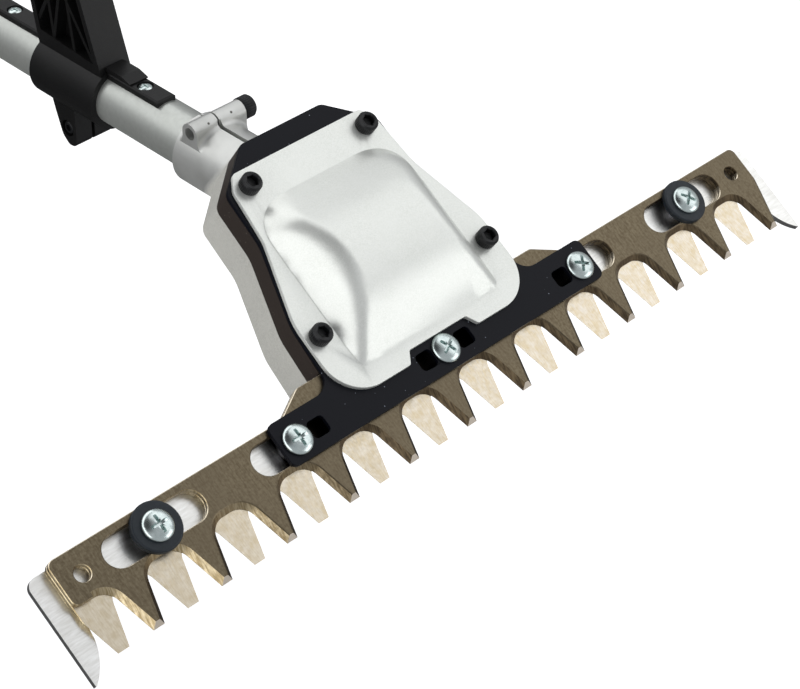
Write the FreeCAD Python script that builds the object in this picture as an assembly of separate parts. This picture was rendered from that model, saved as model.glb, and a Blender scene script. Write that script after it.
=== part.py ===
"""Cutter head of a pole hedge trimmer: a pair of reciprocating blades on a guide bar, the bevel
gearbox that drives them, and the pole stub with its rail and bracket. Millimetres.

+X along the blades, +Y towards the pole, +Z away from the guide bar, where the gear cover is.
Sizes are counted from the line of the tooth tips, midway along the blades, between the two blades.
The pieces are moved as they are written, so that the origin is the centre of the pole's free end.
Each function below makes one piece, or one group of like fasteners."""

import FreeCAD, Part
import math
import os

# Blades and teeth
PITCH = 31.5                # from one tooth to the next
TEETH = 12                  # on each blade
TIP_WIDTH = 5.0
TOOTH_ROOT_WIDTH = 16.6     # where the flanks meet the line of the gullets
GULLET_Y = 20.8             # depth of the gaps between the teeth
GULLET_R = 7.2
BLADE_T = 2.2
BLADE_END = 6.9             # from the last tooth's centre to the end of the blade
BLADE_HALF = (TEETH / 2 - 0.25) * PITCH + BLADE_END
BLADE_BACK_Y = 39.4
BLADE_BEVEL = 2.1           # ground on the outer side of each cutting edge
BLADE_CORNER_R = 3.0
BLADE_EDGE = 0.3            # broken edges of the ends, the back and the slots
BLADE_PLAIN = 1.0           # between the plain end and the first tooth's curve
SLIDE_GAP = 0.1             # between faces that slide on each other
HUMP_Y = 46.8               # the wider middle of the blade
HUMP_HALF = 64.5
HUMP_FOOT_HALF = 78.0

# Slots and screws along the blades
SLOT_Y = 29.8
SLOT_R = 6.45
END_SLOT_IN = 42.2          # from the end of the blade
END_SLOT_X = BLADE_HALF - END_SLOT_IN
END_SLOT_TRAVEL = 16.3      # from the slot's middle to the centre of its round end
MID_SLOT_X = 78.4
MID_SLOT_TRAVEL = 14.1
BUSH_PLAY = 0.25            # round a bush in its slot
END_HOLE_IN = 9.5
END_HOLE_X = BLADE_HALF - END_HOLE_IN
END_HOLE_R = 3.2

# Guide bar
GUIDE_T = 2.5
GUIDE_OVER = 8.2            # past the end of the blade
GUIDE_HALF = BLADE_HALF + GUIDE_OVER
GUIDE_FRONT_Y = 22.5
GUIDE_BACK_Y = 38.0
HOOK_TIP_Y = -5.0
HOOK_ROOT_W = 11.4          # width of the end hook at the bar
HOOK_BEND_W = 9.6           # and where its inner side starts to curve out
HOOK_BEND_Y = 9.0
HOOK_BELLY_W = 6.0
HOOK_BELLY_Y = 0.8
HOOK_TIP_W = 0.6
HOOK_CORNER_R = 4.0

# Holder plate
PLATE_T = 2.0
WING_END = 7.9              # past the outer screws
WING_HALF = MID_SLOT_X + WING_END
WING_FRONT_Y = 21.3
WING_BACK_Y = 40.0
WING_CORNER_R = 3.0
WING_NECK_R = 8.0
PLATE_SQUARE_OFF = (10.4, 10.7)     # from the middle screw, and inwards from the outer ones
PLATE_SQUARE_W = 8.2
PLATE_SQUARE_H = 7.4
PLATE_SQUARE_R = 2.0

# Outline that the plate, the frame and the housing share, from the pole side
BOX_POLE_Y = 140.0
BOX_POLE_HALF = 21.5
BOX_SHOULDER = (40.3, 124.6)
BOX_WAIST = (41.0, 101.0)
BOX_FRONT_HALF = 52.6
BOX_HIP = (BOX_FRONT_HALF - 1.3, 67.5)
BOX_SHOULDER_R = 6.0
BOX_WAIST_R = 25.0
BOX_HIP_R = 30.0
BOX_FRONT_Y = 47.2

# Spacer frame between the plate and the housing
FRAME_H = 10.4
FRAME_INNER_HALF = 35.5
FRAME_INNER_POLE_Y = 122.0
FRAME_INNER_POLE_HALF = 22.0
FRAME_SILL = 5.0            # bar across its front, under the blades

# Gear cover
FLANGE_T = 2.0
COVER_POLE_Y = 130.2
COVER_POLE_HALF = 34.0
COVER_FRONT_Y = 31.2
COVER_FRONT_R = 17.0
NOTCH_Y = 36.3
NOTCH_HALF = 15.5
NOTCH_FLARE = 3.4
COVER_RIM = 0.6             # how far the cover stays inside the plate
COVER_SHOULDER_IN = 2.0
DOME_HALF = 38.2
DOME_FRONT_Y = 39.5
DOME_POLE_Y = 115.3
DOME_CREST_FRONT_Y = 66.0
DOME_CREST_POLE_Y = 91.0
DOME_H = 15.9
DOME_DRAFT = 0.8            # how far a side leans in for each millimetre up
DOME_CORNER_R = 20.0        # at the pole side, where the sides swing round
DOME_CORNER_OUT = 2.0       # and how far past the pole edge they do
DOME_CREST_BLEND = 8.0      # heights over which two slopes run into each other
DOME_RIDGE_BLEND = (4.0, 7.0)       # at the front and at the pole side
DOME_SKIRT = 5.0            # how far its surface runs on past its foot
DOME_STEP = 3.5             # between the points that carry its surface
COVER_WALL = 2.8            # measured straight up
COVER_SCREWS = ((31.1, 123.0), (45.6, 58.5))    # mirrored to the other side

# Housing
HOUSING_BOTTOM_Z = -29.5
HOUSING_UNDER_R = 6.0
HOUSING_CAVITY_HALF = 34.0
HOUSING_CAVITY_FRONT_Y = 58.0
HOUSING_CAVITY_POLE_Y = 113.0
HOUSING_FLOOR_T = 2.5
BEARING_BOSS_T = 3.0        # round a bearing's seat and below it

# Pole: its axis lies in the plane X = 0 and falls away from the blades
POLE_AXIS_Y = 157.5
POLE_AXIS_Z = -47.2
POLE_TILT = 33.1            # degrees below the blades
TUBE_R = 12.0
TUBE_WALL = 1.6
TUBE_IN = -26.0             # places along the pole are counted from the point above
TUBE_OUT = 176.0
MARK_S = 154.0              # turned line that shows how far the pole goes into its coupling
MARK_W = 2.0
MARK_DEPTH = 0.3
NECK_R = 15.7
NECK_RIM = 6.4
NECK_IN = -60.0
CLAMP_S = -1.8               # the clamp's boss lies across the neck, above the pole
CLAMP_H = 15.4
CLAMP_R = 4.5
CLAMP_LEFT = -12.6
CLAMP_RIGHT = 14.4
CLAMP_BLEND_R = 2.4
CLAMP_SLIT = 0.8            # through the boss
NECK_SLIT = 2.0             # on through the neck
NECK_SLIT_OUT = -5.2
NECK_SLIT_IN = -22.0

# Gears
GEAR_Y = 86.0
GEAR_TEETH = 30
PINION_TEETH = 10
GEAR_PITCH_R = 20.0
GEAR_FACE = 8.0
PRESSURE_DEG = 25.0
BACKLASH = 0.22
SHAFT_R = 5.0
PINION_SHAFT_R = 4.0
ECCENTRIC_R = 16.0
ECCENTRIC_T = 3.3
THROW = PITCH / 4           # at each end of the stroke the two rows of teeth line up
YOKE_PLAY = 0.21 * THROW + 0.15    # opened so that an even slide follows the round path
YOKE_END_PLAY = 0.3
YOKE_WALL = 5.0
TONGUE_END_R = 8.0
GEAR_BEARING = (5.0, 13.0, 8.0)       # bore radius, outer radius, width
PINION_BEARING = (4.0, 11.0, 7.0)
FIT = 0.03                  # between a bearing, a screw or a bush and its seat
SOCKET_HALF = 2.6           # square socket in the end of the pinion's shaft
SOCKET_DEPTH = 9.0
SOCKET_PLAY = 0.1
SQUARE_DEPTH = 8.0          # how far the drive shaft's square end goes into it
PINION_SHAFT_OUT = 4.0      # past the pinion's bearings
CIRCLIP_T = 1.0
CIRCLIP_W = 1.8
CIRCLIP_GAP = 6.0
SHAFT_BUSH_L = 10.0
SHAFT_BUSH_IN = 6.0         # from either end of the tube
SHAFT_BUSH_PLAY = 0.1
SHAFT_SHORT = 2.0           # how far the drive shaft stays inside the tube's end

# Fasteners
PAN_HEAD_R = 6.3
PAN_HEAD_H = 3.0
HOLDER_SCREW_R = 3.0
WASHER_R = 9.9
WASHER_T = 2.4
NUT_ACROSS = 10.0
NUT_H = 5.0
CAP_HEAD_R = 4.35
CAP_HEAD_H = 5.0
CAP_SCREW_R = 2.5
CAP_SCREW_LENGTH = 24.0     # below the flange
CLAMP_HEAD_R = 4.9
CLAMP_HEAD_H = 5.9
CLAMP_SCREW_R = 2.7

# Rail and bracket on the pole
RAIL_HALF = 4.9
BRACKET_PLAY = 0.1         # between the bracket and the rail
RAIL_TOP = 14.0
RAIL_CHAMFER = 0.7
RAIL_START = 27.5
RAIL_END = 152.0
RAIL_SCREWS = (41.0, 129.5)
RAIL_SCREW_R = 1.6
RAIL_HEAD_R = 3.5
RAIL_HEAD_H = 1.4
FOOT_START = 60.0
FOOT_END = 102.0
FOOT_R = 14.8
ARM_HALF = 8.0
ARM_TOP = 54.0
ARM_LEAN = 0.33             # how far the front edge runs back for each millimetre up
ARM_REAR_LEAN = 0.2
ARM_WEB_HALF = 2.0
ARM_RIM = 3.0
ARM_SUNK_Z = 8.0            # how deep the arm goes into the collar
ARM_FOOT_Z = 12.0           # where its edges start to lean
ARM_POCKET_Z = 17.0         # floor of its pockets at the front
ARM_POCKET_RISE = 2.5       # and how much higher it is at the back
TOE_START = 45.0
TOE_CREST = 50.5
TOE_TOP = 16.2
TOE_LIP = 0.6
LUG_HALF = 9.5
LUG_OUTLINE = (             # (along the pole, above its axis, corner radius)
    (79.3, 0.0), (79.3, -30.4, 3.0), (84.6, -31.2, 3.0), (88.7, -27.6, 6.0),
    (92.3, -17.3, 20.0), (94.6, -9.9), (97.0, 0.0),
)
LUG_SCREW = (85.0, -23.0)
LUG_SCREW_R = 2.0
LUG_SLIT = 1.6
LUG_HEAD_R = 3.0
LUG_SINK_R = 3.9
LUG_SINK = 3.0
LUG_NUT_ACROSS = 7.0
LUG_NUT_H = 3.2
ARM_RIB_T = 1.8
ARM_RIB_IN = 0.6            # how far the ribs stay behind the rim
ARM_RIBS = (                # foot and head of each rib: (along the pole, above its axis)
    ((91.9, 19.0), (95.5, 51.0)),
    ((78.4, 18.5), (82.5, 51.0)),
    ((103.0, 22.0), (95.0, 36.0)),
    ((66.9, 19.0), (81.0, 40.0)),
    ((91.9, 19.0), (84.0, 51.0)),
)

# Levels, from the faces between the blades
BLADE_Z = SLIDE_GAP / 2
BLADE_TOP = BLADE_Z + BLADE_T
PLATE_Z = BLADE_TOP + SLIDE_GAP
PLATE_TOP = PLATE_Z + PLATE_T
FLANGE_TOP = PLATE_TOP + FLANGE_T
GUIDE_TOP = -BLADE_TOP - SLIDE_GAP
GUIDE_Z = GUIDE_TOP - GUIDE_T
FRAME_Z = PLATE_Z - FRAME_H
TONGUE_HALF = ECCENTRIC_R + YOKE_PLAY + YOKE_WALL
WINDOW_HALF_Y = ECCENTRIC_R + THROW + YOKE_END_PLAY
TONGUE_END_Y = GEAR_Y + WINDOW_HALF_Y + YOKE_WALL
BUSH_R = SLOT_R - BUSH_PLAY
WASHER_Z = BLADE_TOP + SLIDE_GAP
HOLDER_XS = (-MID_SLOT_X, 0.0, MID_SLOT_X)
END_XS = (-END_SLOT_X, END_SLOT_X)

# Bevel gear sizes: both pitch cones meet at the point where the two shafts' axes cross
SHAFT_ANGLE = math.radians(90.0 - POLE_TILT)
GEAR_APEX_Z = POLE_AXIS_Z + (POLE_AXIS_Y - GEAR_Y) * math.tan(math.radians(POLE_TILT))
GEAR_CONE = math.atan2(math.sin(SHAFT_ANGLE), math.cos(SHAFT_ANGLE) + PINION_TEETH / GEAR_TEETH)
PINION_CONE = SHAFT_ANGLE - GEAR_CONE
CONE_LENGTH = GEAR_PITCH_R / math.sin(GEAR_CONE)
MODULE = 2 * GEAR_PITCH_R / GEAR_TEETH

V = FreeCAD.Vector
X_AXIS = V(1, 0, 0)
Y_AXIS = V(0, 1, 0)
Z_AXIS = V(0, 0, 1)


def outline(points, z=0.0):
    """Closed wire in a level plane. Each point is (x, y) or (x, y, corner radius)."""
    corners = [V(p[0], p[1], z) for p in points]
    radii = [p[2] if len(p) > 2 else 0.0 for p in points]
    edges = []
    joints = []
    for i, corner in enumerate(corners):
        back = corners[i - 1] - corner
        ahead = corners[(i + 1) % len(corners)] - corner
        half_turn = math.pi / 2 - back.getAngle(ahead) / 2
        reach = radii[i] * math.tan(half_turn)
        back.normalize()
        ahead.normalize()
        start = corner + back * reach
        end = corner + ahead * reach
        joints.append((start, end))
        if radii[i]:
            inward = back + ahead
            inward.normalize()
            middle = corner + inward * (radii[i] / math.cos(half_turn) - radii[i])
            joints[-1] = (start, end, middle)
    for i, joint in enumerate(joints):
        if len(joint) == 3:
            edges.append(Part.Arc(joint[0], joint[2], joint[1]).toShape())
        following = joints[(i + 1) % len(joints)][0]
        if (following - joint[1]).Length > 1e-6:
            edges.append(Part.makeLine(joint[1], following))
    return Part.Wire(Part.__sortEdges__(edges))


def prism(points, low, high):
    """Solid of an outline between two levels."""
    return Part.Face(outline(points, low)).extrude(V(0, 0, high - low))


def side_prism(points, left, right):
    """Solid of an outline given in Y and Z, between two places along X."""
    solid = Part.Face(outline(points)).extrude(V(0, 0, right - left))
    solid.Placement = FreeCAD.Placement(V(left, 0, 0), FreeCAD.Rotation(V(1, 1, 1), 120))
    return solid


def rod(radius, start, axis, length):
    return Part.makeCylinder(radius, length, start, axis)


def box(x, y, z):
    """Block between two limits on each axis."""
    return Part.makeBox(x[1] - x[0], y[1] - y[0], z[1] - z[0], V(x[0], y[0], z[0]))


def both_sides(points):
    """Outline that is the same on both sides of X = 0, from its right half."""
    return points + [(-p[0],) + tuple(p[1:]) for p in reversed(points)]


def slot(x, travel, radius, low, high):
    """Block in the shape of a slot; with no travel it is round."""
    left = x - travel - radius
    right = x + travel + radius
    front = SLOT_Y - radius
    back = SLOT_Y + radius
    corners = [(left, front, radius), (right, front, radius), (right, back, radius), (left, back, radius)]
    return prism(corners, low, high)


def blade_slot(x, travel, radius):
    """What a slot takes out of a blade, with its rims broken on both faces."""
    wide = radius + BLADE_EDGE
    upper = slot(x, travel, wide, BLADE_TOP - BLADE_EDGE, BLADE_TOP + 1)
    upper = upper.makeChamfer(BLADE_EDGE, level_edges(upper, BLADE_TOP - BLADE_EDGE))
    lower = slot(x, travel, wide, BLADE_Z - 1, BLADE_Z + BLADE_EDGE)
    lower = lower.makeChamfer(BLADE_EDGE, level_edges(lower, BLADE_Z + BLADE_EDGE))
    return slot(x, travel, radius, BLADE_Z - 1, BLADE_TOP + 1).fuse([upper, lower])


def on_pole(shape):
    """Moves a piece made along Y, with its top towards +Z, to the pole's axis."""
    shape.rotate(V(0, 0, 0), X_AXIS, -POLE_TILT)
    shape.translate(V(0, POLE_AXIS_Y, POLE_AXIS_Z))
    return shape


def mirrored(points):
    return [(side * x, y) for x, y in points for side in (1, -1)]


def box_outline(front_y):
    """Outline of the gearbox down to a straight front edge."""
    return both_sides([
        (BOX_FRONT_HALF, front_y),
        (BOX_HIP[0], BOX_HIP[1], BOX_HIP_R),
        (BOX_WAIST[0], BOX_WAIST[1], BOX_WAIST_R),
        (BOX_SHOULDER[0], BOX_SHOULDER[1], BOX_SHOULDER_R),
        (BOX_POLE_HALF, BOX_POLE_Y, 5.0),
    ])


def level_edges(solid, level):
    """Edges that lie in a level plane."""
    return [e for e in solid.Edges if abs(e.BoundBox.ZMin - level) < 0.01 and abs(e.BoundBox.ZMax - level) < 0.01]


def toothed_strip(start_x):
    """Blade without its toothless end: teeth down -Y, bevelled on top, end tooth at +X."""
    tip = TIP_WIDTH / 2
    root = TOOTH_ROOT_WIDTH / 2
    centres = [(i - TEETH / 2 + 0.75) * PITCH for i in range(TEETH)]
    end_y = GULLET_Y * (BLADE_END - tip) / (root - tip)
    points = [(start_x, GULLET_Y)]
    for x in centres:
        points += [(x - root, GULLET_Y, GULLET_R), (x - tip, 0), (x + tip, 0), (x + root, GULLET_Y, GULLET_R)]
    points[-1] = (BLADE_HALF, end_y)
    points += [(BLADE_HALF, BLADE_BACK_Y, BLADE_CORNER_R)]
    points += [(HUMP_FOOT_HALF, BLADE_BACK_Y, 8.0), (HUMP_HALF, HUMP_Y, 4.0)]
    points += [(TONGUE_HALF, HUMP_Y, 3.0), (TONGUE_HALF, TONGUE_END_Y, TONGUE_END_R)]
    points += [(-TONGUE_HALF, TONGUE_END_Y, TONGUE_END_R), (-TONGUE_HALF, HUMP_Y, 3.0)]
    points += [(-HUMP_HALF, HUMP_Y, 4.0), (-HUMP_FOOT_HALF, BLADE_BACK_Y, 8.0), (start_x, BLADE_BACK_Y)]
    solid = prism(points, BLADE_Z, BLADE_TOP)

    cutting = []
    for edge in level_edges(solid, BLADE_TOP):
        if edge.BoundBox.YMax < GULLET_Y + 0.01 and edge.BoundBox.XMin < BLADE_HALF - 0.01:
            cutting.append(edge)
    solid = solid.makeChamfer(BLADE_BEVEL, cutting)
    back = []
    for edge in level_edges(solid, BLADE_TOP) + level_edges(solid, BLADE_Z):
        if edge.BoundBox.YMax > GULLET_Y + BLADE_BEVEL and edge.BoundBox.XMax > start_x + 0.01:
            back.append(edge)
    return solid.makeChamfer(BLADE_EDGE, back)


def blade_end(start_x):
    """Plain end of the blade, with its edges broken."""
    solid = prism([
        (-BLADE_HALF, GULLET_Y, BLADE_CORNER_R), (start_x, GULLET_Y),
        (start_x, BLADE_BACK_Y), (-BLADE_HALF, BLADE_BACK_Y, BLADE_CORNER_R),
    ], BLADE_Z, BLADE_TOP)
    faces = level_edges(solid, BLADE_TOP) + level_edges(solid, BLADE_Z)
    return solid.makeChamfer(BLADE_EDGE, [e for e in faces if e.BoundBox.XMin < start_x - 0.01])


def blade():
    """One blade with its slots and holes, and with the window for its eccentric."""
    first_x = (0.75 - TEETH / 2) * PITCH - TOOTH_ROOT_WIDTH / 2
    flank_turn = math.atan2(GULLET_Y, (TOOTH_ROOT_WIDTH - TIP_WIDTH) / 2)
    start_x = first_x - GULLET_R * math.tan(flank_turn / 2) - BLADE_PLAIN
    solid = toothed_strip(start_x).fuse(blade_end(start_x)).removeSplitter()
    holes = [blade_slot(x, END_SLOT_TRAVEL, SLOT_R) for x in END_XS]
    holes += [blade_slot(x, MID_SLOT_TRAVEL, SLOT_R) for x in HOLDER_XS]
    holes += [blade_slot(x, 0.0, END_HOLE_R) for x in (-END_HOLE_X, END_HOLE_X)]
    half_x = ECCENTRIC_R + YOKE_PLAY
    window = [(-half_x, GEAR_Y - WINDOW_HALF_Y, 3.0), (half_x, GEAR_Y - WINDOW_HALF_Y, 3.0)]
    window += [(half_x, GEAR_Y + WINDOW_HALF_Y, 3.0), (-half_x, GEAR_Y + WINDOW_HALF_Y, 3.0)]
    holes.append(prism(window, BLADE_Z - 1, BLADE_TOP + 1))
    for hole in holes:
        solid = solid.cut(hole)
    return solid


def upper_blade():
    return blade()


def lower_blade():
    """The same blade turned over, so that its bevels face down."""
    solid = blade()
    solid.rotate(V(0, 0, 0), Y_AXIS, 180)
    return solid


def guide_bar():
    """Flat bar under the blades, with a pointed guard at each end."""
    bar = prism([
        (-GUIDE_HALF, GUIDE_FRONT_Y), (GUIDE_HALF, GUIDE_FRONT_Y),
        (GUIDE_HALF, GUIDE_BACK_Y, HOOK_CORNER_R), (-GUIDE_HALF, GUIDE_BACK_Y, HOOK_CORNER_R),
    ], GUIDE_Z, GUIDE_TOP)
    for side in (1, -1):
        belly = Part.Arc(
            V(side * (GUIDE_HALF - HOOK_BEND_W), HOOK_BEND_Y, GUIDE_Z),
            V(side * (GUIDE_HALF - HOOK_BELLY_W), HOOK_BELLY_Y, GUIDE_Z),
            V(side * (GUIDE_HALF - HOOK_TIP_W), HOOK_TIP_Y, GUIDE_Z),
        ).toShape()
        rest = Part.makePolygon([
            V(side * (GUIDE_HALF - HOOK_TIP_W), HOOK_TIP_Y, GUIDE_Z),
            V(side * GUIDE_HALF, HOOK_TIP_Y, GUIDE_Z),
            V(side * GUIDE_HALF, GUIDE_FRONT_Y, GUIDE_Z),
            V(side * (GUIDE_HALF - HOOK_ROOT_W), GUIDE_FRONT_Y, GUIDE_Z),
            V(side * (GUIDE_HALF - HOOK_BEND_W), HOOK_BEND_Y, GUIDE_Z),
        ])
        hook = Part.Face(Part.Wire([belly] + rest.Edges)).extrude(V(0, 0, GUIDE_T))
        bar = bar.fuse(hook)
    for x in (-END_SLOT_X, -MID_SLOT_X, 0, MID_SLOT_X, END_SLOT_X):
        bar = bar.cut(rod(HOLDER_SCREW_R + FIT, V(x, SLOT_Y, GUIDE_Z - 1), Z_AXIS, GUIDE_T + 2))
    return bar.removeSplitter()


def holder_plate():
    """Folded-black steel plate: a wing along the blades and a body under the gear cover."""
    solid = prism(both_sides([
        (WING_HALF, WING_FRONT_Y, WING_CORNER_R),
        (WING_HALF, WING_BACK_Y, WING_CORNER_R),
        (BOX_FRONT_HALF + 0.2, WING_BACK_Y, WING_NECK_R),
        (BOX_HIP[0], BOX_HIP[1], BOX_HIP_R),
        (BOX_WAIST[0], BOX_WAIST[1], BOX_WAIST_R),
        (BOX_SHOULDER[0], BOX_SHOULDER[1], BOX_SHOULDER_R),
        (BOX_POLE_HALF, BOX_POLE_Y, 5.0),
    ]), PLATE_Z, PLATE_TOP)
    half = PLATE_SQUARE_W / 2
    tall = PLATE_SQUARE_H / 2
    for x in [side * x for x in (PLATE_SQUARE_OFF[0], MID_SLOT_X - PLATE_SQUARE_OFF[1]) for side in (1, -1)]:
        low = SLOT_Y - tall
        high = SLOT_Y + tall
        square = [(x - half, low, PLATE_SQUARE_R), (x + half, low, PLATE_SQUARE_R)]
        square += [(x + half, high, PLATE_SQUARE_R), (x - half, high, PLATE_SQUARE_R)]
        solid = solid.cut(prism(square, PLATE_Z - 1, PLATE_TOP + 1))
    for x in (-MID_SLOT_X, 0, MID_SLOT_X):
        solid = solid.cut(rod(HOLDER_SCREW_R + FIT, V(x, SLOT_Y, PLATE_Z - 1), Z_AXIS, PLATE_T + 2))
    for x, y in mirrored(COVER_SCREWS):
        solid = solid.cut(rod(CAP_SCREW_R + FIT, V(x, y, PLATE_Z - 1), Z_AXIS, PLATE_T + 2))
    return solid.cut(rod(ECCENTRIC_R + THROW + 2.0, V(0, GEAR_Y, PLATE_Z - 1), Z_AXIS, PLATE_T + 2))


def spacer_frame():
    """Frame round the blade tongues, open towards the blades above a sill."""
    solid = prism(box_outline(BOX_FRONT_Y), FRAME_Z, PLATE_Z)
    opening = both_sides([
        (FRAME_INNER_HALF, BOX_FRONT_Y - 5.0),
        (FRAME_INNER_HALF, TONGUE_END_Y - 2.0, 4.0),
        (FRAME_INNER_POLE_HALF, FRAME_INNER_POLE_Y, 4.0),
    ])
    solid = solid.cut(prism(opening, FRAME_Z - 1, PLATE_Z + 1))
    half = FRAME_INNER_HALF + 0.5
    sill = box((-half, half), (BOX_FRONT_Y, BOX_FRONT_Y + FRAME_SILL), (FRAME_Z, GUIDE_TOP))
    solid = solid.fuse(sill)
    for x, y in mirrored(COVER_SCREWS):
        solid = solid.cut(rod(CAP_SCREW_R + FIT, V(x, y, FRAME_Z - 1), Z_AXIS, FRAME_H + 2))
    return solid


def rounded_min(a, b, width):
    """The lower of two heights, rounded over where they come near each other."""
    near = max(width - abs(a - b), 0.0)
    return min(a, b) - near * near / (4 * width)


def dome_height(x, y):
    """Height of the cover's raised middle over its flange, less than nothing beyond its foot."""
    front = DOME_H * (y - DOME_FRONT_Y) / (DOME_CREST_FRONT_Y - DOME_FRONT_Y)
    pole = DOME_H * (DOME_POLE_Y - y) / (DOME_POLE_Y - DOME_CREST_POLE_Y)
    crown = rounded_min(rounded_min(front, DOME_H, DOME_CREST_BLEND), pole, DOME_CREST_BLEND)
    past_x = abs(x) - (DOME_HALF - DOME_CORNER_R)
    past_y = y - (DOME_POLE_Y + DOME_CORNER_OUT - DOME_CORNER_R)
    outward = math.hypot(max(past_x, 0.0), max(past_y, 0.0)) + min(max(past_x, past_y), 0.0)
    side = (DOME_CORNER_R - outward) / DOME_DRAFT
    share = min(max((y - DOME_FRONT_Y) / (DOME_POLE_Y - DOME_FRONT_Y), 0.0), 1.0)
    ridge = DOME_RIDGE_BLEND[0] + share * (DOME_RIDGE_BLEND[1] - DOME_RIDGE_BLEND[0])
    return rounded_min(crown, side, ridge)


def stations(low, high):
    """Evenly spaced places from one limit to the other."""
    count = math.ceil((high - low) / DOME_STEP)
    return [low + (high - low) * i / count for i in range(count + 1)]


def dome(drop):
    """Body under the cover's smooth top, which is lowered by the drop."""
    across = stations(-DOME_HALF - DOME_SKIRT, DOME_HALF + DOME_SKIRT)
    along = stations(DOME_FRONT_Y - DOME_SKIRT, DOME_POLE_Y + DOME_SKIRT)
    surface = Part.BSplineSurface()
    surface.interpolate([[V(x, y, FLANGE_TOP - drop + dome_height(x, y)) for y in along] for x in across])
    solid = surface.toShape().extrude(V(0, 0, -2 * DOME_H))
    return solid.common(box((-100, 100), (0, 200), (PLATE_TOP - PLATE_T, FLANGE_TOP + 2 * DOME_H)))


def gear_cover():
    """Cast cover: a thin flange, a domed middle and a boss inside for the upper bearing."""
    rim = both_sides([
        (NOTCH_HALF, NOTCH_Y, 1.5),
        (NOTCH_HALF + NOTCH_FLARE, COVER_FRONT_Y, 1.5),
        (BOX_FRONT_HALF - COVER_RIM, COVER_FRONT_Y, COVER_FRONT_R),
        (BOX_HIP[0], BOX_HIP[1], BOX_HIP_R),
        (BOX_WAIST[0] - COVER_RIM, BOX_WAIST[1], BOX_WAIST_R),
        (BOX_SHOULDER[0] - COVER_SHOULDER_IN, BOX_SHOULDER[1] - 1.0, BOX_SHOULDER_R),
        (COVER_POLE_HALF, COVER_POLE_Y, 3.0),
    ])
    solid = dome(0.0).common(prism(rim, PLATE_TOP, FLANGE_TOP + 2 * DOME_H))
    solid = solid.fuse(prism(rim, PLATE_TOP, FLANGE_TOP)).removeSplitter()
    solid = solid.cut(dome(COVER_WALL))
    bearing_top = bearing_level() + GEAR_BEARING[2]
    boss = rod(GEAR_BEARING[1] + BEARING_BOSS_T, V(0, GEAR_Y, bearing_level() + 0.5), Z_AXIS, DOME_H)
    solid = solid.fuse(boss.common(dome(COVER_WALL / 2)))
    solid = solid.cut(rod(GEAR_BEARING[1] + FIT, V(0, GEAR_Y, PLATE_TOP), Z_AXIS, bearing_top - PLATE_TOP))
    for x, y in mirrored(COVER_SCREWS):
        solid = solid.cut(rod(CAP_SCREW_R + FIT, V(x, y, PLATE_TOP - 1), Z_AXIS, FLANGE_T + 2))
    return solid.removeSplitter()


def bearing_level():
    """Underside of the upper gear bearing."""
    return FLANGE_TOP + 1.0


def gear_back_level():
    return GEAR_APEX_Z - gear_cone(True)["back"]


def clamped_neck():
    """Round neck along +Y with the boss of its clamp blended into it."""
    neck = rod(NECK_R, V(0, NECK_IN, 0), Y_AXIS, NECK_RIM - NECK_IN)
    boss = rod(CLAMP_R, V(CLAMP_LEFT, CLAMP_S, CLAMP_H), X_AXIS, CLAMP_RIGHT - CLAMP_LEFT)
    web = box((CLAMP_LEFT, CLAMP_RIGHT), (CLAMP_S - CLAMP_R, CLAMP_S + CLAMP_R), (2.0, CLAMP_H))
    solid = neck.fuse([boss, web]).removeSplitter()
    feet = []
    for edge in solid.Edges:
        middle = edge.valueAt((edge.FirstParameter + edge.LastParameter) / 2)
        on_neck = abs(math.hypot(middle.x, middle.z) - NECK_R) < 0.01
        along_boss = edge.BoundBox.XLength > CLAMP_R and edge.BoundBox.YLength < 0.01
        if on_neck and along_boss and edge.BoundBox.YMax < NECK_RIM - 0.01 and middle.y > NECK_IN + 1:
            feet.append(edge)
    return solid.makeFillet(CLAMP_BLEND_R, feet)


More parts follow.
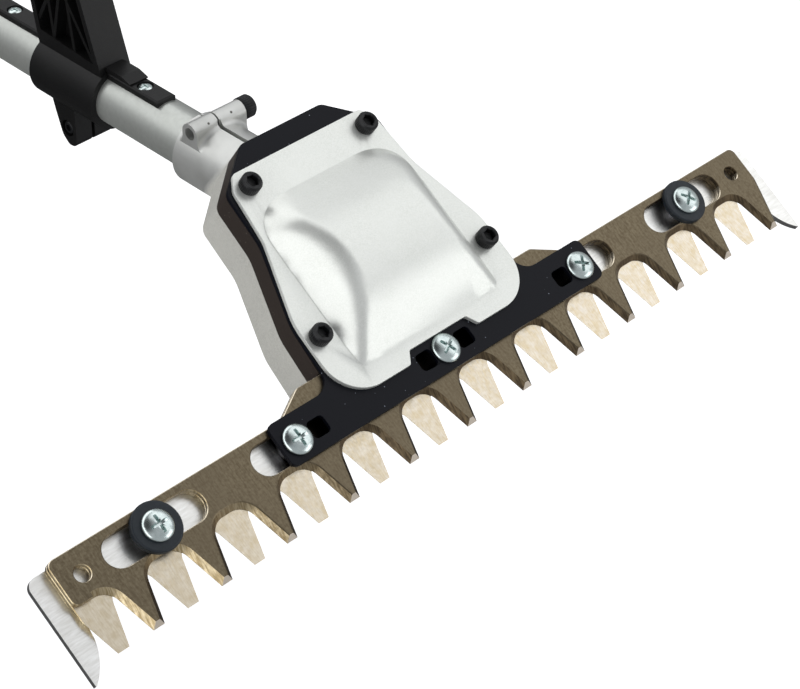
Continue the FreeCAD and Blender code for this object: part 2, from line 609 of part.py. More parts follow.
def gear_housing():
    """Cast box for the gears, with the split neck that grips the pole."""
    top = FRAME_Z
    body = prism(box_outline(BOX_FRONT_Y), HOUSING_BOTTOM_Z, top)
    under = [e for e in body.Edges if e.BoundBox.ZMax < HOUSING_BOTTOM_Z + 0.01]
    body = body.makeFillet(HOUSING_UNDER_R, under)
    lower_bearing_z = gear_hub_level() - GEAR_BEARING[2]
    boss_r = GEAR_BEARING[1] + BEARING_BOSS_T
    boss = rod(boss_r, V(0, GEAR_Y, lower_bearing_z - BEARING_BOSS_T), Z_AXIS, -lower_bearing_z - 15.0)
    neck = on_pole(clamped_neck()).cut(box((-60, 60), (0, 250), (top, 50)))
    solid = body.fuse([neck, boss])
    cavity = both_sides([
        (HOUSING_CAVITY_HALF, HOUSING_CAVITY_FRONT_Y, 8.0),
        (HOUSING_CAVITY_HALF, HOUSING_CAVITY_POLE_Y, 14.0),
    ])
    floor = HOUSING_BOTTOM_Z + HOUSING_FLOOR_T
    solid = solid.cut(prism(cavity, floor, top + 1))
    solid = solid.cut(rod(GEAR_BEARING[1] + FIT, V(0, GEAR_Y, lower_bearing_z), Z_AXIS, 20.0))
    tunnel = rod(TUBE_R + FIT, V(0, TUBE_IN, 0), Y_AXIS, 60.0)
    seat = rod(PINION_BEARING[1] + FIT, V(0, pinion_seat(), 0), Y_AXIS, TUBE_IN - pinion_seat())
    throat = rod(PINION_BEARING[1] - 1.5, V(0, NECK_IN - 15.0, 0), Y_AXIS, pinion_seat() - NECK_IN + 15.0)
    slit = box((-CLAMP_SLIT / 2, CLAMP_SLIT / 2), (NECK_SLIT_OUT - 1, 30), (0, 40))
    neck_slit = box((-NECK_SLIT / 2, NECK_SLIT / 2), (NECK_SLIT_IN, NECK_SLIT_OUT), (0, 40))
    thread = rod(CLAMP_SCREW_R + FIT, V(CLAMP_LEFT - 1, CLAMP_S, CLAMP_H), X_AXIS, 40.0)
    cuts = on_pole(tunnel.fuse([seat, throat, slit, neck_slit, thread]))
    solid = solid.cut(cuts)
    for x, y in mirrored(COVER_SCREWS):
        depth = CAP_SCREW_LENGTH - (FLANGE_TOP - top) + 2.0
        solid = solid.cut(rod(CAP_SCREW_R + FIT, V(x, y, top - depth), Z_AXIS, depth + 1))
    return solid.removeSplitter()


def pinion_seat():
    """Inner end of the pinion's bearing seat, along the pole."""
    return TUBE_IN - 7.0 - 2 * PINION_BEARING[2] - 1.0


def gear_cone(is_gear):
    """Where the blank of the gear or of the pinion lies, from the point where the axes cross."""
    half_angle = GEAR_CONE if is_gear else PINION_CONE
    dedendum = 1.15 * MODULE
    radius = CONE_LENGTH * math.sin(half_angle) - dedendum * math.cos(half_angle)
    reach = CONE_LENGTH * math.cos(half_angle) + dedendum * math.sin(half_angle)
    share = (CONE_LENGTH - GEAR_FACE) / CONE_LENGTH
    thick = 3.0 if is_gear else 1.5
    return {"angle": half_angle, "radius": radius, "reach": reach, "share": share, "back": reach + thick}


def flank(teeth, half_angle):
    """Half a tooth on the back cone: pairs of (offset to the side, height over the pitch line)."""
    pitch_r = MODULE * teeth / 2 / math.cos(half_angle)
    pressure = math.radians(PRESSURE_DEG)
    base_r = pitch_r * math.cos(pressure)
    half_tooth = (math.pi * MODULE / 2 - BACKLASH) / 2 / pitch_r
    points = []
    for height in (-1.3 * MODULE, -0.5 * MODULE, 0.0, 0.45 * MODULE, 0.85 * MODULE):
        radius = pitch_r + height
        local = math.acos(min(1.0, base_r / radius))
        roll = (math.tan(pressure) - pressure) - (math.tan(local) - local)
        turn = half_tooth + roll
        points.append((radius * math.sin(turn), radius * math.cos(turn) - pitch_r))
    return points


def bevel_teeth(teeth, is_gear, first_deg):
    """Straight teeth that all run to the point where the axes cross; the axis is +Z."""
    sizes = gear_cone(is_gear)
    angle = sizes["angle"]
    along = V(math.sin(angle), 0, math.cos(angle))
    outward = V(math.cos(angle), 0, -math.sin(angle))
    half = flank(teeth, angle)
    section = half + [(-x, y) for x, y in reversed(half)]
    outer = [along * CONE_LENGTH + outward * y + V(0, x, 0) for x, y in section]
    inner = [p * sizes["share"] for p in outer]
    count = len(section)
    faces = [Part.Face(Part.makePolygon(outer + outer[:1])), Part.Face(Part.makePolygon(inner + inner[:1]))]
    for i in range(count):
        j = (i + 1) % count
        faces.append(Part.Face(Part.makePolygon([outer[i], outer[j], inner[j], inner[i], outer[i]])))
    tooth = Part.makeSolid(Part.makeShell(faces))
    if tooth.Volume < 0:
        tooth.reverse()
    row = []
    for i in range(teeth):
        copy = tooth.copy()
        copy.rotate(V(0, 0, 0), Z_AXIS, first_deg + 360.0 * i / teeth)
        row.append(copy)
    return row


def blank(is_gear):
    """Turned body under the teeth, solid to the axis."""
    sizes = gear_cone(is_gear)
    share = sizes["share"]
    radius = sizes["radius"]
    reach = sizes["reach"]
    rim = radius - 1.0 if is_gear else radius
    profile = Part.makePolygon([
        V(0, 0, reach * share), V(radius * share, 0, reach * share), V(radius, 0, reach),
        V(rim, 0, sizes["back"]), V(0, 0, sizes["back"]), V(0, 0, reach * share),
    ])
    return Part.Face(profile).revolve(V(0, 0, 0), Z_AXIS, 360)


def gear_hub_level():
    """Top of the lower gear bearing."""
    return gear_back_level() - 1.0


def gear_wheel():
    """Bevel wheel and its upright shaft, with two flats for the eccentrics."""
    wheel = blank(True).fuse(bevel_teeth(GEAR_TEETH, True, 0.0))
    wheel.rotate(V(0, 0, 0), X_AXIS, 180)
    wheel.translate(V(0, GEAR_Y, GEAR_APEX_Z))
    bottom = gear_hub_level() - GEAR_BEARING[2]
    top = bearing_level() + GEAR_BEARING[2]
    shaft = rod(SHAFT_R - FIT, V(0, GEAR_Y, bottom), Z_AXIS, top - bottom)
    hub = rod(SHAFT_R + 2.0, V(0, GEAR_Y, gear_hub_level()), Z_AXIS, 1.5)
    collar = rod(SHAFT_R + 2.5, V(0, GEAR_Y, gear_back_level()), Z_AXIS, -ECCENTRIC_T - 0.5 - gear_back_level())
    neck = box((-20, 20), (GEAR_Y - 20, GEAR_Y + 20), (-ECCENTRIC_T - 0.2, ECCENTRIC_T + 0.2))
    flats = neck.cut(box((-SHAFT_R + 1, SHAFT_R - 1), (0, 200), (-20, 20)))
    return wheel.fuse([shaft, hub, collar]).cut(flats).removeSplitter()


def eccentric(side):
    """Disc set off to one side of the shaft; it drives one blade."""
    low = 0.15 if side > 0 else -ECCENTRIC_T - 0.15
    disc = rod(ECCENTRIC_R, V(0, GEAR_Y + side * THROW, low), Z_AXIS, ECCENTRIC_T)
    bore = rod(SHAFT_R, V(0, GEAR_Y, low - 1), Z_AXIS, ECCENTRIC_T + 2)
    bore = bore.common(box((-SHAFT_R + 1 - FIT, SHAFT_R - 1 + FIT), (0, 200), (-20, 20)))
    return disc.cut(bore)


def shaft_spacer():
    """Ring between the upper eccentric and the upper bearing."""
    low = ECCENTRIC_T + 0.2
    ring = rod(SHAFT_R + 2.0, V(0, GEAR_Y, low), Z_AXIS, bearing_level() - low)
    return ring.cut(rod(SHAFT_R, V(0, GEAR_Y, low - 1), Z_AXIS, 20))


def bearing(sizes):
    """Shielded ball bearing as one ring with its two rings marked by a groove, along +Z."""
    bore, outer, width = sizes
    ring = rod(outer, V(0, 0, 0), Z_AXIS, width).cut(rod(bore, V(0, 0, -1), Z_AXIS, width + 2))
    middle = (bore + outer) / 2
    shield = rod(middle + 2, V(0, 0, 0), Z_AXIS, 0.5).cut(rod(middle - 2, V(0, 0, -1), Z_AXIS, 3))
    top = shield.copy()
    top.translate(V(0, 0, width - 0.5))
    return ring.cut(shield).cut(top)


def gear_bearings():
    rings = []
    for level in (gear_hub_level() - GEAR_BEARING[2], bearing_level()):
        ring = bearing(GEAR_BEARING)
        ring.translate(V(0, GEAR_Y, level))
        rings.append(ring)
    return Part.makeCompound(rings)


def pinion_bearings():
    rings = []
    for i in range(2):
        ring = bearing(PINION_BEARING)
        ring.rotate(V(0, 0, 0), X_AXIS, -90)
        ring.translate(V(0, pinion_seat() + i * PINION_BEARING[2], 0))
        rings.append(on_pole(ring))
    return Part.makeCompound(rings)


def pinion_shaft():
    """Bevel pinion cut on its shaft, with a square socket for the drive shaft."""
    apex_s = (GEAR_Y - POLE_AXIS_Y) / math.cos(math.radians(POLE_TILT))
    pinion = blank(False).fuse(bevel_teeth(PINION_TEETH, False, 90.0))
    pinion.rotate(V(0, 0, 0), X_AXIS, -90)
    pinion.translate(V(0, apex_s, 0))
    start = apex_s + gear_cone(False)["back"] - 1.0
    end = socket_end()
    collar = rod(PINION_SHAFT_R + 1.2, V(0, start, 0), Y_AXIS, pinion_seat() - start)
    shaft = rod(PINION_SHAFT_R - FIT, V(0, start, 0), Y_AXIS, end - start)
    socket = box((-SOCKET_HALF, SOCKET_HALF), (end - SOCKET_DEPTH, end + 1), (-SOCKET_HALF, SOCKET_HALF))
    return on_pole(pinion.fuse([collar, shaft]).cut(socket).removeSplitter())


def socket_end():
    """Outer end of the pinion's shaft, along the pole."""
    return pinion_seat() + 2 * PINION_BEARING[2] + PINION_SHAFT_OUT


def pinion_circlip():
    """Spring ring that holds the pinion's bearings in their seat."""
    start = pinion_seat() + 2 * PINION_BEARING[2]
    ring = rod(PINION_BEARING[1], V(0, start, 0), Y_AXIS, CIRCLIP_T)
    ring = ring.cut(rod(PINION_BEARING[1] - CIRCLIP_W, V(0, start - 1, 0), Y_AXIS, CIRCLIP_T + 2))
    half = CIRCLIP_GAP / 2
    return on_pole(ring.cut(box((-half, half), (start - 1, start + CIRCLIP_T + 1), (0, 20))))


def drive_shaft():
    """Steel rod in the pole, square where it enters the pinion."""
    half = SOCKET_HALF - SOCKET_PLAY
    start = socket_end()
    square = box((-half, half), (start - SQUARE_DEPTH, start + 3.0), (-half, half))
    round_part = rod(PINION_SHAFT_R, V(0, start + 2.0, 0), Y_AXIS, TUBE_OUT - SHAFT_SHORT - start - 2.0)
    return on_pole(square.fuse(round_part).removeSplitter())


def shaft_bushes():
    """Plastic bushes that carry the drive shaft inside the tube."""
    rings = []
    for start in (TUBE_IN + SHAFT_BUSH_IN, (TUBE_IN + TUBE_OUT) / 2, TUBE_OUT - SHAFT_BUSH_IN - SHAFT_BUSH_L):
        ring = rod(TUBE_R - TUBE_WALL, V(0, start, 0), Y_AXIS, SHAFT_BUSH_L)
        ring = ring.cut(rod(PINION_SHAFT_R + SHAFT_BUSH_PLAY, V(0, start - 1, 0), Y_AXIS, SHAFT_BUSH_L + 2))
        rings.append(on_pole(ring))
    return Part.makeCompound(rings)


def pole_tube():
    tube = rod(TUBE_R, V(0, TUBE_IN, 0), Y_AXIS, TUBE_OUT - TUBE_IN)
    tube = tube.cut(rod(TUBE_R - TUBE_WALL, V(0, TUBE_IN - 1, 0), Y_AXIS, TUBE_OUT - TUBE_IN + 2))
    mark = rod(TUBE_R + 1, V(0, MARK_S, 0), Y_AXIS, MARK_W)
    mark = mark.cut(rod(TUBE_R - MARK_DEPTH, V(0, MARK_S - 1, 0), Y_AXIS, MARK_W + 2))
    tube = tube.cut(mark)
    for s in RAIL_SCREWS:
        tube = tube.cut(rod(RAIL_SCREW_R + FIT, V(0, s, 0), Z_AXIS, 20.0))
    return on_pole(tube)


def pole_rail():
    """Plastic strip along the top of the tube."""
    solid = box((-RAIL_HALF, RAIL_HALF), (RAIL_START, RAIL_END), (5.0, RAIL_TOP))
    top_edges = [e for e in solid.Edges if e.BoundBox.ZMin > RAIL_TOP - 0.01]
    solid = solid.makeChamfer(RAIL_CHAMFER, top_edges)
    solid = solid.cut(rod(TUBE_R + FIT, V(0, 0, 0), Y_AXIS, TUBE_OUT))
    for s in RAIL_SCREWS:
        solid = solid.cut(rod(RAIL_SCREW_R + FIT, V(0, s, 0), Z_AXIS, 20.0))
        solid = solid.cut(rod(RAIL_HEAD_R + 0.1, V(0, s, RAIL_TOP - RAIL_HEAD_H), Z_AXIS, 5.0))
    return on_pole(solid)


def rail_screws():
    screws = []
    for s in RAIL_SCREWS:
        head = rod(RAIL_HEAD_R, V(0, s, RAIL_TOP - RAIL_HEAD_H), Z_AXIS, RAIL_HEAD_H + 0.2)
        shank = rod(RAIL_SCREW_R, V(0, s, TUBE_R - TUBE_WALL - 0.8), Z_AXIS, 3.5)
        cross = box((-2.2, 2.2), (s - 0.4, s + 0.4), (RAIL_TOP - 0.7, RAIL_TOP + 1))
        screws.append(on_pole(head.fuse(shank).cut(cross).removeSplitter()))
    return Part.makeCompound(screws)


def pole_bracket():
    """Moulded clamp round the tube, with a ribbed arm that stands up from it."""
    def front_edge(z):
        return FOOT_START + ARM_LEAN * (z - ARM_FOOT_Z)

    def rear_edge(z):
        return FOOT_END + ARM_REAR_LEAN * (z - ARM_FOOT_Z)

    arm = side_prism([
        (FOOT_START, ARM_SUNK_Z), (FOOT_END, ARM_SUNK_Z), (FOOT_END, ARM_FOOT_Z),
        (rear_edge(ARM_TOP), ARM_TOP), (front_edge(ARM_TOP), ARM_TOP), (FOOT_START, ARM_FOOT_Z),
    ], -ARM_HALF, ARM_HALF)
    top = ARM_TOP - ARM_RIM
    rear_z = ARM_POCKET_Z + ARM_POCKET_RISE
    pocket = [
        (front_edge(ARM_POCKET_Z) + ARM_RIM, ARM_POCKET_Z, 1.0),
        (rear_edge(rear_z) - ARM_RIM, rear_z, 1.0),
        (rear_edge(top) - ARM_RIM, top, 1.0),
        (front_edge(top) + ARM_RIM, top, 1.0),
    ]
    ribs = []
    for foot, head in ARM_RIBS:
        direction = V(0, head[0] - foot[0], head[1] - foot[1])
        direction.normalize()
        across = V(0, -direction.z, direction.y) * (ARM_RIB_T / 2)
        start = V(0, foot[0], foot[1]) - direction * ARM_RIM
        end = V(0, head[0], head[1]) + direction * ARM_RIM
        corners = [start - across, start + across, end + across, end - across]
        ribs.append(side_prism([(c.y, c.z) for c in corners], -ARM_HALF + ARM_RIB_IN, ARM_HALF - ARM_RIB_IN))
    for left, right in ((-ARM_HALF - 1, -ARM_WEB_HALF), (ARM_WEB_HALF, ARM_HALF + 1)):
        hollow = side_prism(pocket, left, right)
        for rib in ribs:
            hollow = hollow.cut(rib)
        arm = arm.cut(hollow)
    collar = rod(FOOT_R, V(0, FOOT_START, 0), Y_AXIS, FOOT_END - FOOT_START)
    over_rail = RAIL_TOP + BRACKET_PLAY
    toe = side_prism([
        (TOE_START, over_rail), (FOOT_START + 1, over_rail), (FOOT_START + 1, TOE_TOP),
        (TOE_CREST, TOE_TOP, 4.0), (TOE_START, over_rail + TOE_LIP),
    ], -RAIL_HALF, RAIL_HALF)
    lug = side_prism(LUG_OUTLINE, -LUG_HALF, LUG_HALF)
    solid = arm.fuse([collar, toe, lug])
    solid = solid.cut(rod(TUBE_R + BRACKET_PLAY / 2, V(0, 0, 0), Y_AXIS, 200.0))
    channel = RAIL_HALF + BRACKET_PLAY
    solid = solid.cut(box((-channel, channel), (0, 200), (0, over_rail)))
    solid = solid.cut(box((-LUG_SLIT / 2, LUG_SLIT / 2), (0, 200), (-50, 0)))
    hole = rod(LUG_SCREW_R + FIT, V(-20, LUG_SCREW[0], LUG_SCREW[1]), X_AXIS, 40.0)
    sink = rod(LUG_SINK_R, V(-LUG_HALF - 1, LUG_SCREW[0], LUG_SCREW[1]), X_AXIS, LUG_SINK + 1)
    return on_pole(solid.cut(hole).cut(sink).removeSplitter())


def bracket_screw():
    screw = cap_screw(LUG_HEAD_R, LUG_SINK - 0.4, LUG_SCREW_R, 2 * LUG_HALF - LUG_SINK + LUG_NUT_H)
    screw.rotate(V(0, 0, 0), Y_AXIS, -90)
    screw.translate(V(-LUG_HALF + LUG_SINK, LUG_SCREW[0], LUG_SCREW[1]))
    return on_pole(screw)


def bracket_nut():
    solid = hexagon(LUG_NUT_ACROSS, LUG_NUT_H)
    solid.rotate(V(0, 0, 0), Y_AXIS, 90)
    solid = solid.cut(rod(LUG_SCREW_R + FIT, V(-1, 0, 0), X_AXIS, 10.0))
    solid.translate(V(LUG_HALF, LUG_SCREW[0], LUG_SCREW[1]))
    return on_pole(solid)


def hexagon(across, height):
    corner = across / 2 / math.cos(math.pi / 6)
    points = [(corner * math.cos(a), corner * math.sin(a)) for a in [math.pi * i / 3 for i in range(6)]]
    return prism(points, 0, height)


def pan_screw(x, seat, low):
    """Pan head screw with a cross recess, standing on a seat and reaching down to a level."""
    head = rod(PAN_HEAD_R, V(x, SLOT_Y, seat), Z_AXIS, PAN_HEAD_H)
    crown = [e for e in head.Edges if e.BoundBox.ZMin > seat + PAN_HEAD_H - 0.01]
    head = head.makeFillet(PAN_HEAD_H * 0.75, crown)
    shank = rod(HOLDER_SCREW_R, V(x, SLOT_Y, low), Z_AXIS, seat - low + 0.5)
    level = seat + PAN_HEAD_H
    cross = box((x - 3.2, x + 3.2), (SLOT_Y - 0.7, SLOT_Y + 0.7), (level - 1.6, level + 1))
    other = box((x - 0.7, x + 0.7), (SLOT_Y - 3.2, SLOT_Y + 3.2), (level - 1.6, level + 1))
    return head.fuse(shank).cut(cross).cut(other)


def nut(x, top):
    solid = hexagon(NUT_ACROSS, NUT_H)
    solid = solid.cut(rod(HOLDER_SCREW_R + FIT, V(0, 0, -1), Z_AXIS, NUT_H + 2))
    solid.translate(V(x, SLOT_Y, top - NUT_H))
    return solid


def bush(x, low, high):
    solid = rod(BUSH_R, V(x, SLOT_Y, low), Z_AXIS, high - low)
    return solid.cut(rod(HOLDER_SCREW_R + FIT, V(x, SLOT_Y, low - 1), Z_AXIS, high - low + 2))


def holder_screws():
    low = GUIDE_Z - NUT_H - 1.0
    return Part.makeCompound([pan_screw(x, PLATE_TOP, low) for x in HOLDER_XS])


def holder_bushes():
    return Part.makeCompound([bush(x, GUIDE_TOP, PLATE_Z) for x in HOLDER_XS])


def holder_nuts():
    return Part.makeCompound([nut(x, GUIDE_Z) for x in HOLDER_XS])


def end_screws():
    low = GUIDE_Z - NUT_H - 1.0
    return Part.makeCompound([pan_screw(x, WASHER_Z + WASHER_T, low) for x in END_XS])


def end_washers():
    washers = []
    for x in END_XS:
        ring = rod(WASHER_R, V(x, SLOT_Y, WASHER_Z), Z_AXIS, WASHER_T)
        rim = [e for e in ring.Edges if e.BoundBox.ZMin > WASHER_Z + WASHER_T - 0.01]
        ring = ring.makeFillet(0.8, rim)
        washers.append(ring.cut(rod(HOLDER_SCREW_R + FIT, V(x, SLOT_Y, 0), Z_AXIS, 20)))
    return Part.makeCompound(washers)


def end_bushes():
    return Part.makeCompound([bush(x, GUIDE_TOP, WASHER_Z) for x in END_XS])


def end_nuts():
    return Part.makeCompound([nut(x, GUIDE_Z) for x in END_XS])


def cap_screw(head_r, head_h, screw_r, length):
    """Socket head screw along -Z, its head standing on the level Z = 0."""
    head = rod(head_r, V(0, 0, 0), Z_AXIS, head_h)
    rim = [e for e in head.Edges if e.BoundBox.ZMin > head_h - 0.01]
    head = head.makeChamfer(0.5, rim)
    shank = rod(screw_r, V(0, 0, -length), Z_AXIS, length + 0.5)
    socket = hexagon(head_r, head_h * 0.6)
    socket.translate(V(0, 0, head_h * 0.45))
    return head.fuse(shank).cut(socket)


def cover_screws():
    screws = []
    for x, y in mirrored(COVER_SCREWS):
        screw = cap_screw(CAP_HEAD_R, CAP_HEAD_H, CAP_SCREW_R, CAP_SCREW_LENGTH)
        screw.translate(V(x, y, FLANGE_TOP))
        screws.append(screw)
    return Part.makeCompound(screws)


def clamp_screw():
    screw = cap_screw(CLAMP_HEAD_R, CLAMP_HEAD_H, CLAMP_SCREW_R, CLAMP_RIGHT - CLAMP_LEFT - 4.0)
    screw.rotate(V(0, 0, 0), Y_AXIS, 90)
    screw.translate(V(CLAMP_RIGHT, CLAMP_S, CLAMP_H))
    return on_pole(screw)


PIECES = {
    "upper_blade": upper_blade,
    "lower_blade": lower_blade,
    "guide_bar": guide_bar,
    "holder_plate": holder_plate,
    "spacer_frame": spacer_frame,
    "gear_cover": gear_cover,
    "gear_housing": gear_housing,
    "cover_screws": cover_screws,
    "holder_screws": holder_screws,
    "holder_bushes": holder_bushes,
    "holder_nuts": holder_nuts,
    "end_screws": end_screws,
    "end_washers": end_washers,
    "end_bushes": end_bushes,
    "end_nuts": end_nuts,
    "clamp_screw": clamp_screw,
    "pole_tube": pole_tube,
    "pole_rail": pole_rail,
    "rail_screws": rail_screws,
    "pole_bracket": pole_bracket,
    "bracket_screw": bracket_screw,
    "bracket_nut": bracket_nut,
    "gear_wheel": gear_wheel,
    "eccentric_upper": lambda: eccentric(1),
    "eccentric_lower": lambda: eccentric(-1),
    "shaft_spacer": shaft_spacer,
    "gear_bearings": gear_bearings,
    "pinion_shaft": pinion_shaft,
    "pinion_bearings": pinion_bearings,
    "pinion_circlip": pinion_circlip,
    "drive_shaft": drive_shaft,
    "shaft_bushes": shaft_bushes,
}

os.makedirs("parts", exist_ok=True)
tilt = math.radians(POLE_TILT)
pole_end = V(0, POLE_AXIS_Y + TUBE_OUT * math.cos(tilt), POLE_AXIS_Z - TUBE_OUT * math.sin(tilt))
for name, make in PIECES.items():
    shape = make()
    shape.translate(pole_end * -1)
    shape.exportStep("parts/" + name + ".step")
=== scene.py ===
import math
import bmesh
import bpy
from mathutils import Matrix, Quaternion, Vector


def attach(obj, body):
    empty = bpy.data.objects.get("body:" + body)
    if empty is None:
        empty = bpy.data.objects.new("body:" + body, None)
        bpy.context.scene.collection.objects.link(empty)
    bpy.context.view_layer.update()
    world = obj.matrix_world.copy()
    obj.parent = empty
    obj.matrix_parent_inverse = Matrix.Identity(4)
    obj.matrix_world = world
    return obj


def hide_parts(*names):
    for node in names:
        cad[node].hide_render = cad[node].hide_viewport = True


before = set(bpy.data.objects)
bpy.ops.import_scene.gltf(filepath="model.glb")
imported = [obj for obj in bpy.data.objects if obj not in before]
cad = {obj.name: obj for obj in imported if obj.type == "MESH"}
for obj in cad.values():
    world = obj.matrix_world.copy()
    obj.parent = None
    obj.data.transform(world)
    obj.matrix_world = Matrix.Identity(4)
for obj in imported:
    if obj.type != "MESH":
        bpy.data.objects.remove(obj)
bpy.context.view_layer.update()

# Where things stand: the origin is the centre of the pole's free end, and the pole falls
# away from the blades. Places along the blades are counted from the line of the tooth tips.
POLE_TILT = math.radians(33.1)
TUBE_OUT = 0.176
TEETH_TO_ORIGIN = Vector((
    0.0,
    -0.1575 - TUBE_OUT * math.cos(POLE_TILT),
    0.0472 + TUBE_OUT * math.sin(POLE_TILT),
))


# The studio: a white floor, softboxes over the cover and on its left, a room that is dark near
# the floor and over the pole, and a camera that looks down on the cover from the left.
def linear(code):
    """An sRGB hex colour as linear red, green, blue and alpha."""
    parts = [int(code[i:i + 2], 16) / 255 for i in (0, 2, 4)]
    return [p / 12.92 if p <= 0.04045 else ((p + 0.055) / 1.055) ** 2.4 for p in parts] + [1.0]


def add(tree, kind, inputs=None, **settings):
    """Adds a node; an input's value may be a number, a colour or another node's output."""
    made = tree.nodes.new(kind)
    for name, value in settings.items():
        setattr(made, name, value)
    for name, value in (inputs or {}).items():
        if isinstance(value, bpy.types.NodeSocket):
            tree.links.new(value, made.inputs[name])
        else:
            made.inputs[name].default_value = value
    return made


def new_material(name):
    """An empty node material, its tree and its output node."""
    material = bpy.data.materials.new(name)
    material.use_nodes = True
    tree = material.node_tree
    tree.nodes.clear()
    return material, tree, add(tree, "ShaderNodeOutputMaterial")


camera_data = bpy.data.cameras.new("camera")
camera_data.sensor_width = 36.0
camera_data.lens = 103.5
camera_data.clip_start = 0.05
camera_data.clip_end = 50.0
camera = bpy.data.objects.new("camera", camera_data)
bpy.context.scene.collection.objects.link(camera)
camera.location = Vector((-0.51504, -0.07064, 0.72342)) + TEETH_TO_ORIGIN
camera.rotation_mode = "QUATERNION"
camera.rotation_quaternion = Quaternion((0.91123, 0.14974, -0.26460, -0.27790))
bpy.context.scene.camera = camera

FLOOR_HALF = 6.0
FLOOR_LEVEL = -0.014
floor_mesh = bpy.data.meshes.new("floor")
floor_mesh.from_pydata(
    [(FLOOR_HALF * x, FLOOR_HALF * y, FLOOR_LEVEL) for x, y in ((-1, -1), (1, -1), (1, 1), (-1, 1))],
    [], [(0, 1, 2, 3)])
floor = bpy.data.objects.new("floor", floor_mesh)
bpy.context.scene.collection.objects.link(floor)
material, tree, output = new_material("matt_white_floor")
shader = add(tree, "ShaderNodeBsdfPrincipled", {
    "Base Color": linear("F7F7F7"), "Roughness": 0.9,
    "Emission Color": linear("FFFFFF"), "Emission Strength": 0.55,
})
tree.links.new(shader.outputs[0], output.inputs[0])
floor_mesh.materials.append(material)
floor.visible_glossy = False

bpy.context.scene.view_settings.view_transform = "Standard"
world = bpy.data.worlds.new("studio")
bpy.context.scene.world = world
world.use_nodes = True
world.node_tree.nodes["Background"].inputs[0].default_value = linear("F4F6FA")
sky = world.node_tree
way = add(sky, "ShaderNodeTexCoord").outputs["Generated"]
height = add(sky, "ShaderNodeSeparateXYZ", {"Vector": way})
wall = add(sky, "ShaderNodeMapRange", {"Value": height.outputs["Z"], "From Min": -0.60, "From Max": 0.10,
                                       "To Min": 0.06, "To Max": 0.50})
DARK_OVER_POLE = Vector((-0.30, 0.50, 0.81))
over_pole = add(sky, "ShaderNodeVectorMath", {0: way, 1: DARK_OVER_POLE}, operation="DOT_PRODUCT")
shade = add(sky, "ShaderNodeMapRange", {"Value": over_pole.outputs["Value"], "From Min": 0.78, "From Max": 0.95,
                                        "To Min": 1.0, "To Max": 0.10})
lit = add(sky, "ShaderNodeMath", {0: wall.outputs[0], 1: shade.outputs[0]}, operation="MULTIPLY")
sky.links.new(lit.outputs[0], sky.nodes["Background"].inputs[1])

LIT_POINT = Vector((0.0, -0.2, 0.12))
for name, side, size, power in (
    ("overhead_softbox", (1.15, 0.45, 1.40), (2.6, 1.5), 9.7),
    ("front_right_softbox", (1.15, -1.40, 1.00), (1.3, 1.0), 5.8),
    ("left_softbox", (-1.65, 0.00, 0.70), (1.9, 0.8), 7.0),
    ("back_softbox", (-0.40, 1.65, 0.46), (3.6, 1.0), 12.6),
):
    light_data = bpy.data.lights.new(name, "AREA")
    light_data.shape = "RECTANGLE"
    light_data.size, light_data.size_y = size
    light_data.energy = power
    light = bpy.data.objects.new(name, light_data)
    bpy.context.scene.collection.objects.link(light)
    light.location = LIT_POINT + Vector(side)
    light.rotation_mode = "QUATERNION"
    light.rotation_quaternion = Vector(side).to_track_quat("Z", "Y")


def dress(names, material):
    """Gives CAD nodes a finish in the slot that each came with."""
    for name in names:
        for slot in cad[name].material_slots:
            slot.material = material


